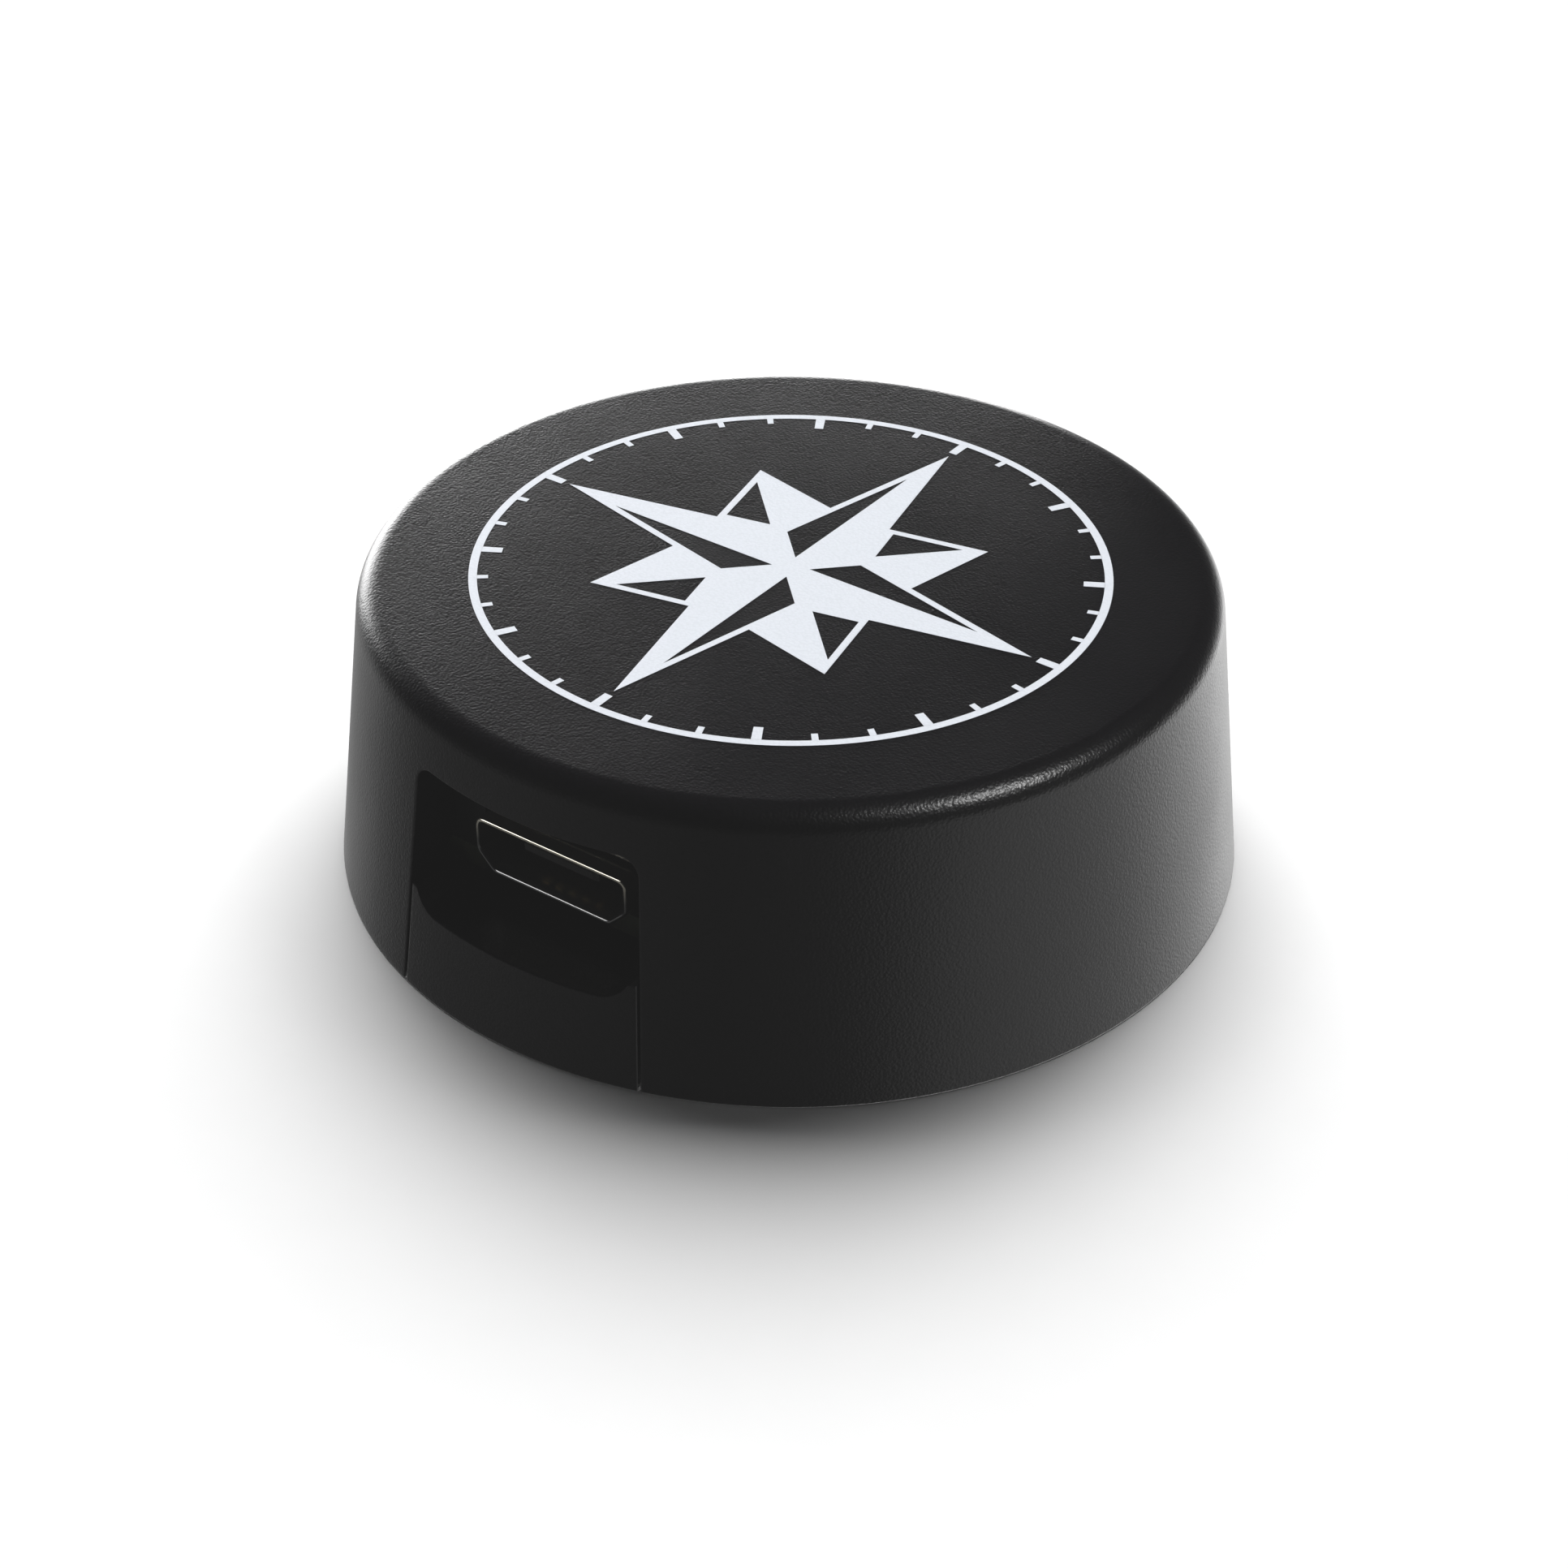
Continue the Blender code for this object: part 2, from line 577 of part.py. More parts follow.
def base_cover(material):
    bm = bmesh.new()
    radius = inner_radius(COVER_THICKNESS) - COVER_GAP
    add_prism(bm, circle((0, 0), radius, CASE_SEGMENTS), 0, COVER_THICKNESS)
    cover = piece("base_cover", bm, material)

    tongue = bmesh.new()
    add_prism(tongue, tongue_outline(), -(BASE_RADIUS + CUTTER_REACH), -PORT_BLOCK_FACE, "Y")
    tongue = helper("tongue_block", tongue)
    core = bmesh.new()
    half = notch_half_width(0) - TONGUE_WALL
    wall_inside = math.sqrt(outer_radius(TONGUE_TOP) ** 2 - half**2) - TONGUE_WALL
    add_box(
        core,
        (-half, -wall_inside, COVER_THICKNESS),
        (half, -PORT_BLOCK_FACE + CUTTER_REACH, TONGUE_TOP - TONGUE_LEDGE),
    )
    combine(tongue, "DIFFERENCE", helper("tongue_core_cutter", core))
    combine(tongue, "INTERSECT", drafted_core("tongue_trim", 0.0))
    combine(cover, "UNION", tongue)

    pads = bmesh.new()
    embedded = COVER_THICKNESS / 2
    for place in BOSS_PLACES:
        add_cylinder(pads, PAD_RADIUS, embedded, COVER_THICKNESS + PAD_HEIGHT, place, 24)
    combine(cover, "UNION", helper("screw_pads", pads))
    standoffs = bmesh.new()
    for place in BOARD_SCREW_PLACES:
        add_cylinder(standoffs, STANDOFF_RADIUS, embedded, STANDOFF_TOP, place, 20)
    combine(cover, "UNION", helper("board_standoffs", standoffs))

    holes = bmesh.new()
    seat = SCREW_SUNK + CASE_SCREW_HEAD_HEIGHT + SEAT_GAP
    for x, y in BOSS_PLACES:
        profile = [
            (0, -CUTTER_REACH),
            (CASE_SCREW_HEAD_RADIUS + HOLE_CLEARANCE, -CUTTER_REACH),
            (CASE_SCREW_HEAD_RADIUS + HOLE_CLEARANCE, seat),
            (CASE_SCREW_RADIUS + HOLE_CLEARANCE, seat),
            (CASE_SCREW_RADIUS + HOLE_CLEARANCE, BOSS_BOTTOM + CUTTER_REACH),
            (0, BOSS_BOTTOM + CUTTER_REACH),
        ]
        add_turned(holes, profile, 24, (x, y, 0))
    for place in BOARD_SCREW_PLACES:
        low = BOARD_TOP - BOARD_SCREW_LENGTH - 2 * SEAT_GAP
        radius = BOARD_SCREW_RADIUS + SEAT_GAP
        add_cylinder(holes, radius, low, BOARD_BOTTOM + CUTTER_REACH, place, 16)
    combine(cover, "DIFFERENCE", helper("cover_hole_cutter", holes))
    return cover


def cross_outline(long, wide):
    """A plus sign centred on the axis."""
    a, b = long / 2, wide / 2
    quarter = [(a, -b), (a, b), (b, b)]
    return [
        (x * math.cos(t) - y * math.sin(t), x * math.sin(t) + y * math.cos(t))
        for t in (0, math.pi / 2, math.pi, 3 * math.pi / 2)
        for x, y in quarter
    ]


def screws(name, material, places, under_head, length, radius, head_radius, head_height, away):
    """Pan-head screws with cross recesses. `away` is the way from the point to the head, up or down."""
    soft = head_height / 4
    tip = radius * 0.6
    point = under_head - away * length
    face = under_head + away * head_height
    profile = [
        (0, point),
        (tip, point),
        (radius, point + away * (radius - tip)),
        (radius, under_head),
        (head_radius, under_head),
        (head_radius, face - away * soft),
        (head_radius - soft, face),
        (0, face),
    ]
    bm = bmesh.new()
    add_turned(bm, profile, 16)
    screw = piece(name, bm, material)
    cross = bmesh.new()
    low, high = sorted((face - away * head_height * CROSS_DEPTH, face + away * CUTTER_REACH))
    outline = cross_outline(head_radius * CROSS_LENGTH, head_radius * CROSS_WIDTH)
    add_prism(cross, outline, low, high)
    combine(screw, "DIFFERENCE", helper(name + "_cross_cutter", cross))
    repeat(settle(screw), [(x, y, 0) for x, y in places])


def brass_inserts(material):
    bm = bmesh.new()
    low = BOSS_BOTTOM + SEAT_GAP
    high = low + INSERT_LENGTH
    bore = CASE_SCREW_RADIUS + SEAT_GAP
    groove = INSERT_RADIUS - INSERT_GROOVE_DEPTH
    waist = (low + high) / 2
    half_waist = INSERT_GROOVE_WIDTH / 2
    profile = [
        (bore, low),
        (INSERT_RADIUS, low),
        (INSERT_RADIUS, waist - half_waist),
        (groove, waist - half_waist),
        (groove, waist + half_waist),
        (INSERT_RADIUS, waist + half_waist),
        (INSERT_RADIUS, high),
        (bore, high),
    ]
    add_turned(bm, profile, 16, ring=True)
    repeat(piece("brass_insert", bm, material), [(x, y, 0) for x, y in BOSS_PLACES])


# ---------------------------------------------------------------- board and port


def main_board(material):
    bm = bmesh.new()
    front = math.asin(BOARD_FRONT / BOARD_RADIUS)
    rear = math.asin(BOARD_REAR / BOARD_RADIUS)
    right = arc((0, 0), BOARD_RADIUS, -front, rear, 24)
    left = arc((0, 0), BOARD_RADIUS, math.pi - rear, math.pi + front, 24)
    add_prism(bm, right + left, BOARD_BOTTOM, BOARD_TOP)
    board = piece("main_board", bm, material)
    holes = bmesh.new()
    low, high = BOARD_BOTTOM - CUTTER_REACH, BOARD_TOP + CUTTER_REACH
    for place in BOSS_PLACES:
        add_cylinder(holes, BOSS_RADIUS + HOLE_CLEARANCE, low, high, place, 24)
    for place in BOARD_SCREW_PLACES:
        add_cylinder(holes, BOARD_SCREW_RADIUS + HOLE_CLEARANCE, low, high, place, 16)
    combine(board, "DIFFERENCE", helper("board_hole_cutter", holes))
    return board


def usb_shell(material):
    mouth, rear = -USB_MOUTH, -USB_REAR
    bm = bmesh.new()
    add_prism(bm, usb_outline(0.0), mouth, rear, "Y")
    shell = piece("usb_shell", bm, material)

    feet = bmesh.new()
    inside = USB_WIDTH / 2 - USB_SHEET
    foot_end = USB_WIDTH / 2 + USB_FOOT_WIDTH
    foot_top = USB_BOTTOM + USB_SHEET
    leg = [
        (inside, USB_BOTTOM + USB_FOOT_RISE),
        (USB_WIDTH / 2 + USB_SHEET, foot_top + USB_SHEET),
        (foot_end, foot_top),
        (foot_end, USB_BOTTOM),
        (inside, USB_BOTTOM),
    ]
    front = mouth + USB_FOOT_INSET
    for side in (-1, 1):
        outline = [(side * x, z) for x, z in leg]
        add_prism(feet, outline, front, front + USB_FOOT_LENGTH, "Y")
    combine(shell, "UNION", helper("receptacle_feet", feet))

    cavity = bmesh.new()
    add_prism(cavity, usb_outline(USB_SHEET), mouth - CUTTER_REACH, rear + CUTTER_REACH, "Y")
    combine(shell, "DIFFERENCE", helper("receptacle_cavity", cavity))
    return shell


def usb_insulator(material):
    """The plastic tongue and the body that holds it in the back of the shell."""
    bm = bmesh.new()
    outline = usb_outline(USB_SHEET + SEAT_GAP)
    add_prism(bm, outline, -USB_REAR - USB_BODY_LENGTH, -USB_REAR, "Y")
    body = piece("usb_insulator", bm, material)
    middle = USB_BOTTOM + USB_HEIGHT / 2
    tongue = bmesh.new()
    add_box(
        tongue,
        (-USB_TONGUE_WIDTH / 2, -USB_MOUTH + USB_TONGUE_RECESS, middle),
        (USB_TONGUE_WIDTH / 2, -USB_REAR - USB_BODY_LENGTH / 2, middle + USB_TONGUE_THICKNESS),
    )
    combine(body, "UNION", helper("receptacle_tongue", tongue))
    return body


def usb_contacts(material):
    """The contacts lie under the tongue, in a row."""
    half = USB_CONTACT_WIDTH / 2
    top = USB_BOTTOM + USB_HEIGHT / 2 - SEAT_GAP
    front = -USB_MOUTH + USB_TONGUE_RECESS + USB_CONTACT_SETBACK
    rear = -USB_REAR - USB_BODY_LENGTH - SEAT_GAP
    bm = bmesh.new()
    add_box(bm, (-half, front, top - USB_CONTACT_SHEET), (half, rear, top))
    middle = (USB_CONTACT_COUNT - 1) / 2
    places = [((i - middle) * USB_CONTACT_PITCH, 0, 0) for i in range(USB_CONTACT_COUNT)]
    repeat(piece("usb_contact", bm, material), places)


def component(name, material, size, place, top=True):
    """A block that stands on the board, or hangs under it."""
    height = size[2]
    centre = BOARD_TOP + SEAT_GAP + height / 2 if top else BOARD_BOTTOM - SEAT_GAP - height / 2
    bm = bmesh.new()
    add_centred_box(bm, (0, 0, centre), size)
    made = piece(name, bm, material)
    made.location = (*place, 0)
    return made


def board_components(chip, can, ceramic, ferrite):
    component("microcontroller", chip, MICROCONTROLLER_SIZE, (CHIP_X, MICROCONTROLLER_Y))
    component("charger_chip", chip, CHARGER_SIZE, (POWER_X, CHARGER_Y))
    component("voltage_regulator", chip, REGULATOR_SIZE, REGULATOR_PLACE)
    component("power_inductor", ferrite, INDUCTOR_SIZE, (POWER_X, INDUCTOR_Y))
    crystal_y = MICROCONTROLLER_Y + CRYSTAL_GAP + (MICROCONTROLLER_SIZE[1] + CRYSTAL_SIZE[1]) / 2
    component("crystal", can, CRYSTAL_SIZE, (CHIP_X, crystal_y))
    component("radio_shield_can", can, SHIELD_SIZE, SHIELD_PLACE, top=False)
    antenna = (ANTENNA_EDGE_INSET - BOARD_RADIUS, SHIELD_PLACE[1])
    component("chip_antenna", ceramic, ANTENNA_SIZE, antenna, top=False)
    sensor = (BOARD_RADIUS - HEADING_SENSOR_EDGE_INSET, 0)
    component("heading_sensor", chip, HEADING_SENSOR_SIZE, sensor, top=False)
    component("motion_sensor", chip, MOTION_SENSOR_SIZE, MOTION_SENSOR_PLACE, top=False)
    for name, material, size, places in (
        ("capacitor", ceramic, CAPACITOR_SIZE, CAPACITOR_PLACES),
        ("resistor", chip, RESISTOR_SIZE, RESISTOR_PLACES),
    ):
        repeat(component(name, material, size, (0, 0)), [(x, y, 0) for x, y in places])


# ---------------------------------------------------------------- battery


def battery_cell(material):
    bm = bmesh.new()
    add_box(bm, CELL_LOW, CELL_HIGH)
    cell = piece("battery_cell", bm, material)
    bevel = cell.modifiers.new("pouch_edges", "BEVEL")
    bevel.width = CELL_EDGE_RADIUS
    bevel.segments = 3
    bevel.limit_method = "NONE"
    return cell


def battery_pads(pad_material, foam_material):
    """The adhesive pad under the roof, and foam strips between the board and the cell."""
    margin = Vector((CELL_PAD_MARGIN, CELL_PAD_MARGIN, 0))
    low, high = CELL_LOW + margin, CELL_HIGH - margin
    pad = bmesh.new()
    low.z = CELL_HIGH.z + SEAT_GAP
    high.z = low.z + CELL_PAD_THICKNESS
    add_box(pad, low, high)
    piece("battery_adhesive_pad", pad, pad_material)

    strip = bmesh.new()
    low_z, high_z = BOARD_TOP + SEAT_GAP, CELL_LOW.z - SEAT_GAP
    half = FOAM_STRIP_WIDTH / 2
    add_box(
        strip,
        (-half, CELL_LOW.y + FOAM_STRIP_END_MARGIN, low_z),
        (half, CELL_HIGH.y - FOAM_STRIP_END_MARGIN, high_z),
    )
    places = [(CELL_LOW.x + FOAM_STRIP_INSET, 0, 0), (CELL_HIGH.x - FOAM_STRIP_INSET, 0, 0)]
    repeat(piece("battery_foam_strip", strip, foam_material), places)


def protection_strip(board_material, tab_material):
    low_y, high_y = CELL_LOW.y + STRIP_END_MARGIN, CELL_HIGH.y - STRIP_END_MARGIN
    low_z, high_z = CELL_LOW.z + STRIP_EDGE_MARGIN, CELL_HIGH.z - STRIP_EDGE_MARGIN
    bm = bmesh.new()
    add_box(bm, (STRIP_INNER_FACE, low_y, low_z), (STRIP_OUTER_FACE, high_y, high_z))
    piece("cell_protection_strip", bm, board_material)

    tab = bmesh.new()
    face = STRIP_INNER_FACE - SEAT_GAP
    half = TAB_WIDTH / 2
    add_box(
        tab,
        (face - TAB_SHEET, -half, low_z + TAB_EDGE_MARGIN),
        (face, half, high_z - TAB_EDGE_MARGIN),
    )
    places = [(0, CELL_MIDDLE.y + side * TAB_OFFSET, 0) for side in (-1, 1)]
    repeat(piece("cell_tab", tab, tab_material), places)


def battery_connector(housing_material, pin_material):
    """The socket on the board, its pins, and the plug in it. Gives the height of the plug's top."""
    low = BOARD_TOP + SEAT_GAP
    floor = low + SOCKET_FLOOR
    high = low + SOCKET_HEIGHT
    half_x, half_y = SOCKET_WIDTH / 2, SOCKET_LENGTH / 2
    socket = bmesh.new()
    add_box(socket, (SOCKET_X - half_x, -half_y, low), (SOCKET_X + half_x, half_y, high))
    socket = piece("battery_socket", socket, housing_material)
    half_x, half_y = half_x - SOCKET_WALL, half_y - SOCKET_WALL
    inside = bmesh.new()
    add_box(
        inside,
        (SOCKET_X - half_x, -half_y, floor),
        (SOCKET_X + half_x, half_y, high + CUTTER_REACH),
    )
    combine(socket, "DIFFERENCE", helper("socket_cavity", inside))

    pin = bmesh.new()
    centre = (SOCKET_X, 0, floor + SEAT_GAP + PIN_LENGTH / 2)
    add_centred_box(pin, centre, (PIN_SIDE, PIN_SIDE, PIN_LENGTH))
    places = [(0, side * LEAD_PITCH / 2, 0) for side in (-1, 1)]
    repeat(piece("socket_pin", pin, pin_material), places)

    half_x, half_y = half_x - SEAT_GAP, half_y - SEAT_GAP
    bottom, top = floor + SEAT_GAP, high + PLUG_PROUD
    plug = bmesh.new()
    add_box(plug, (SOCKET_X - half_x, -half_y, bottom), (SOCKET_X + half_x, half_y, top))
    plug = piece("battery_plug", plug, housing_material)
    barrels = bmesh.new()
    half = PIN_SIDE / 2 + SEAT_GAP
    for side in (-1, 1):
        y = side * LEAD_PITCH / 2
        add_box(
            barrels,
            (SOCKET_X - half, y - half, bottom - CUTTER_REACH),
            (SOCKET_X + half, y + half, bottom + PLUG_BARREL_DEPTH),
        )
    combine(plug, "DIFFERENCE", helper("plug_barrel_cutter", barrels))
    return top


def smooth_curve(knots, steps):
    """Catmull-Rom points through the knots, with `steps` spans between two of them."""
    ends = [2 * knots[0] - knots[1]] + knots + [2 * knots[-1] - knots[-2]]
    points = []
    for a, b, c, d in zip(ends, ends[1:], ends[2:], ends[3:]):
        for i in range(steps):
            t = i / steps
            linear = (c - a) * t
            square = (2 * a - 5 * b + 4 * c - d) * t**2
            cube = (3 * b - a - 3 * c + d) * t**3
            points.append(b + (linear + square + cube) / 2)
    return points + [knots[-1]]


def battery_lead(name, material, plug_top, side):
    """One insulated lead, looping from the cell's strip over and down into the plug."""
    end_y = side * LEAD_PITCH / 2
    start_y = side * LEAD_SPREAD
    start_x = STRIP_OUTER_FACE + SEAT_GAP
    top = plug_top + LEAD_RISE
    knots = [
        Vector((start_x, start_y, CELL_MIDDLE.z)),
        Vector((start_x + 2 * LEAD_RADIUS, start_y, CELL_MIDDLE.z + LEAD_RADIUS / 4)),
        Vector((start_x + 4 * LEAD_RADIUS, start_y, top - LEAD_RADIUS)),
        Vector((SOCKET_X - 1.5 * LEAD_RADIUS, end_y, top)),
        Vector((SOCKET_X, end_y, plug_top + LEAD_RADIUS)),
        Vector((SOCKET_X, end_y, plug_top + SEAT_GAP)),
    ]
    points = smooth_curve(knots, 5)
    curve = bpy.data.curves.new(name, "CURVE")
    curve.dimensions = "3D"
    curve.bevel_depth = LEAD_RADIUS
    curve.bevel_resolution = 2
    curve.use_fill_caps = True
    spline = curve.splines.new("POLY")
    spline.points.add(len(points) - 1)
    for target, point in zip(spline.points, points):
        target.co = (*point, 1.0)
    curve.materials.append(material)
    lead = bpy.data.objects.new(name, curve)
    bpy.context.collection.objects.link(lead)
    return lead


# ---------------------------------------------------------------- button and light


def rear_plug(name, material, outline, flange_outline, start, proud):
    """Fills a rear opening; a flange holds it against the wall's inner face."""
    reach = BASE_RADIUS + CUTTER_REACH
    stem = bmesh.new()
    add_prism(stem, outline, start, reach, "Y")
    plug = piece(name, stem, material)
    combine(plug, "INTERSECT", drafted_core(name + "_face_trim", proud))
    flange = bmesh.new()
    add_prism(flange, flange_outline, start, reach, "Y")
    flange = helper(name + "_flange", flange)
    combine(flange, "INTERSECT", drafted_core(name + "_flange_trim", -WALL - SEAT_GAP))
    combine(plug, "UNION", flange)
    return plug


def power_button(material):
    width = BUTTON_WIDTH - 2 * SLIDE_GAP
    height = BUTTON_HEIGHT - 2 * SLIDE_GAP
    centre = (0, BUTTON_CENTRE_Z)
    grown = 2 * FLANGE_MARGIN
    return rear_plug(
        "power_button",
        material,
        stadium(width, height, centre),
        stadium(width + grown, height + grown, centre),
        BUTTON_INNER_FACE,
        BUTTON_PROUD,
    )


def tact_switch(body_material, frame_material, plunger_material):
    """A side-push switch: plastic body, sheet-metal frame over it, and its plunger."""
    low = BOARD_TOP + SEAT_GAP
    high = low + SWITCH_HEIGHT
    front, rear = BOARD_REAR, BOARD_REAR - SWITCH_LENGTH
    half = SWITCH_WIDTH / 2 - SWITCH_SHEET - SEAT_GAP
    bm = bmesh.new()
    add_box(bm, (-half, rear, low), (half, front, high - SWITCH_SHEET - SEAT_GAP))
    body = piece("switch_body", bm, body_material)
    plunger_rear = front - PLUNGER_INSIDE
    half_x, half_z = PLUNGER_WIDTH / 2, PLUNGER_HEIGHT / 2
    cavity = bmesh.new()
    add_box(
        cavity,
        (
            -half_x - PLUNGER_ROOM,
            plunger_rear - BUTTON_TRAVEL - DOME_ROOM,
            BUTTON_CENTRE_Z - half_z - PLUNGER_ROOM,
        ),
        (
            half_x + PLUNGER_ROOM,
            front + CUTTER_REACH,
            BUTTON_CENTRE_Z + half_z + PLUNGER_ROOM,
        ),
    )
    combine(body, "DIFFERENCE", helper("switch_cavity", cavity))

    plunger = bmesh.new()
    add_box(
        plunger,
        (-half_x, plunger_rear, BUTTON_CENTRE_Z - half_z),
        (half_x, front + PLUNGER_PROUD, BUTTON_CENTRE_Z + half_z),
    )
    plunger = piece("switch_plunger", plunger, plunger_material)

    half = SWITCH_WIDTH / 2
    frame = bmesh.new()
    add_box(frame, (-half, rear, low), (half, front, high))
    frame = piece("switch_frame", frame, frame_material)
    half = half - SWITCH_SHEET
    inner = bmesh.new()
    add_box(
        inner,
        (-half, rear - CUTTER_REACH, low - CUTTER_REACH),
        (half, front + CUTTER_REACH, high - SWITCH_SHEET),
    )
    combine(frame, "DIFFERENCE", helper("frame_inside", inner))
    return plunger


def status_light(pipe_material, led_material):
    centre = (LIGHT_X, BUTTON_CENTRE_Z)
    rear_plug(
        "status_light_pipe",
        pipe_material,
        circle(centre, LIGHT_RADIUS, 16),
        circle(centre, LIGHT_RADIUS + LIGHT_FLANGE_MARGIN, 16),
        BOARD_REAR + 2 * SEAT_GAP,
        0.0,
    )
    led = bmesh.new()
    high_y = BOARD_REAR - SEAT_GAP
    low_z = BOARD_TOP + SEAT_GAP
    add_box(
        led,
        (LIGHT_X - LED_WIDTH / 2, high_y - LED_LENGTH, low_z),
        (LIGHT_X + LED_WIDTH / 2, high_y, low_z + LED_HEIGHT),
    )
    piece("status_led", led, led_material)


# ---------------------------------------------------------------- assembly


def on_slide(name, place, moving):
    """Parents pieces that move together to an empty on the line that they slide along."""
    axis = bpy.data.objects.new(name, None)
    axis.location = place
    bpy.context.collection.objects.link(axis)
    for made in moving:
        made.parent = axis
        made.matrix_parent_inverse = Matrix.Translation(place).inverted()


def main():
    clear_scene()
    finishes = {
        "case": finish("case_plastic", (0.014, 0.014, 0.015), 0.55),
        "button": finish("button_plastic", (0.018, 0.018, 0.019), 0.6),
        "steel": finish("screw_steel", (0.60, 0.60, 0.58), 0.35, 1.0),
        "brass": finish("insert_brass", (0.72, 0.52, 0.24), 0.35, 1.0),
        "board": finish("board_laminate", (0.010, 0.016, 0.012), 0.4),
        "shell": finish("receptacle_steel", (0.66, 0.64, 0.58), 0.28, 1.0),
        "insulator": finish("receptacle_plastic", (0.012, 0.012, 0.012), 0.5),
        "gold": finish("contact_gold", (0.83, 0.61, 0.26), 0.25, 1.0),
        "cell": finish("cell_foil", (0.62, 0.63, 0.65), 0.42, 0.8),
        "pad": finish("adhesive_pad", (0.75, 0.75, 0.72), 0.8),
        "foam": finish("foam", (0.03, 0.03, 0.03), 0.95),
        "tape": finish("polyimide_tape", (0.62, 0.36, 0.06), 0.3),
        "nickel": finish("nickel_strip", (0.70, 0.69, 0.66), 0.3, 1.0),
        "housing": finish("connector_nylon", (0.80, 0.78, 0.70), 0.5),
        "red": finish("red_insulation", (0.55, 0.02, 0.02), 0.45),
        "black": finish("black_insulation", (0.02, 0.02, 0.02), 0.45),
        "chip": finish("chip_epoxy", (0.02, 0.02, 0.022), 0.5),
        "can": finish("shield_tinplate", (0.68, 0.68, 0.66), 0.35, 1.0),
        "ferrite": finish("ferrite", (0.07, 0.07, 0.075), 0.6),
        "ceramic": finish("ceramic", (0.42, 0.33, 0.24), 0.5),
        "pipe": finish("clear_acrylic", (0.82, 0.84, 0.84), 0.1),
        "led": finish("led_package", (0.85, 0.83, 0.70), 0.35),
    }
    case_shell(finishes["case"])
    base_cover(finishes["case"])
    screws(
        "case_screw",
        finishes["steel"],
        BOSS_PLACES,
        SCREW_SUNK + CASE_SCREW_HEAD_HEIGHT,
        CASE_SCREW_LENGTH,
        CASE_SCREW_RADIUS,
        CASE_SCREW_HEAD_RADIUS,
        CASE_SCREW_HEAD_HEIGHT,
        away=-1,
    )
    brass_inserts(finishes["brass"])
    main_board(finishes["board"])
    screws(
        "board_screw",
        finishes["steel"],
        BOARD_SCREW_PLACES,
        BOARD_TOP + SEAT_GAP,
        BOARD_SCREW_LENGTH,
        BOARD_SCREW_RADIUS,
        BOARD_SCREW_HEAD_RADIUS,
        BOARD_SCREW_HEAD_HEIGHT,
        away=1,
    )
    usb_shell(finishes["shell"])
    usb_insulator(finishes["insulator"])
    usb_contacts(finishes["gold"])
    board_components(
        finishes["chip"], finishes["can"], finishes["ceramic"], finishes["ferrite"]
    )
    battery_cell(finishes["cell"])
    battery_pads(finishes["pad"], finishes["foam"])
    protection_strip(finishes["tape"], finishes["nickel"])
    plug_top = battery_connector(finishes["housing"], finishes["gold"])
    battery_lead("battery_lead_red", finishes["red"], plug_top, 1)
    battery_lead("battery_lead_black", finishes["black"], plug_top, -1)
    button = power_button(finishes["button"])
    plunger = tact_switch(finishes["insulator"], finishes["nickel"], finishes["housing"])
    on_slide("button_slide", (0, BUTTON_INNER_FACE, BUTTON_CENTRE_Z), [button, plunger])
    status_light(finishes["pipe"], finishes["led"])


main()
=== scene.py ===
"""A pocket electronic bearing compass, dressed over its CAD frame.

The sections follow the compass as it is put together: base cover, charging port, circuit board,
battery, button and light, case shell, printed rose, and the screws that close it. The room and
the camera come last. Lengths are in metres; the port faces -Y and the button +Y.
"""

import json
import math

import bmesh
import bpy
import numpy as np
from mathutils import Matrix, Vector

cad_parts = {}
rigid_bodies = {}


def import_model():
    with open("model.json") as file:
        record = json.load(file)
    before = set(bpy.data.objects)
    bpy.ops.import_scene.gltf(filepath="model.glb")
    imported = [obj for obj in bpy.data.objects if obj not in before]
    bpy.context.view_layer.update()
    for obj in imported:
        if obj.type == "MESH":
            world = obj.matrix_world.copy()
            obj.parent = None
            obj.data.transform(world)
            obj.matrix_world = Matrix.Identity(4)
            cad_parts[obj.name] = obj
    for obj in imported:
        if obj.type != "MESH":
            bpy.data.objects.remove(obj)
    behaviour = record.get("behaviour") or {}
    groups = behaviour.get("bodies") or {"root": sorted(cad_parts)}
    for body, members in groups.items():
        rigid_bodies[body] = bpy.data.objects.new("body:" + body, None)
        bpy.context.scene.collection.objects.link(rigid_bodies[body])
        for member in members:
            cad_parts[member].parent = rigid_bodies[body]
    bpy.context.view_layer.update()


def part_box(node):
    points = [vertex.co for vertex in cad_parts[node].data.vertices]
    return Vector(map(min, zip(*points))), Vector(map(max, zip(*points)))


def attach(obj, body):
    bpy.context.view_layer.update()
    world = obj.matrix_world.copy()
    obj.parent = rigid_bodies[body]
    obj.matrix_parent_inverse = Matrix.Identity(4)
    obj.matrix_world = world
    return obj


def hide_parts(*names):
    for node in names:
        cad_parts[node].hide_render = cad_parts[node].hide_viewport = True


for old in list(bpy.data.objects):
    bpy.data.objects.remove(old)
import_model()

mm = 0.001

# ---------------------------------------------------------------- base cover
# A disc of satin black plastic that closes the case from below. It is moulded in one with the
# tongue that fills the lower part of the port's notch, four screw pads and four standoffs.

base_radius = 18.995 * mm
side_draft = math.radians(6.4)
notch_base_half = 6.0 * mm
notch_draft = math.radians(3.6)
block_face = -14.9 * mm  # the front of the block that holds the port
soft_edge = 0.09 * mm
weld = 0.0002 * mm  # points nearer than this are one
sharp_angle = math.radians(32)  # an edge that turns more than this stays crisp


def outer_radius(z):
    """The side wall's radius: the base's radius less the height times the draft's tangent."""
    return base_radius - z * math.tan(side_draft)


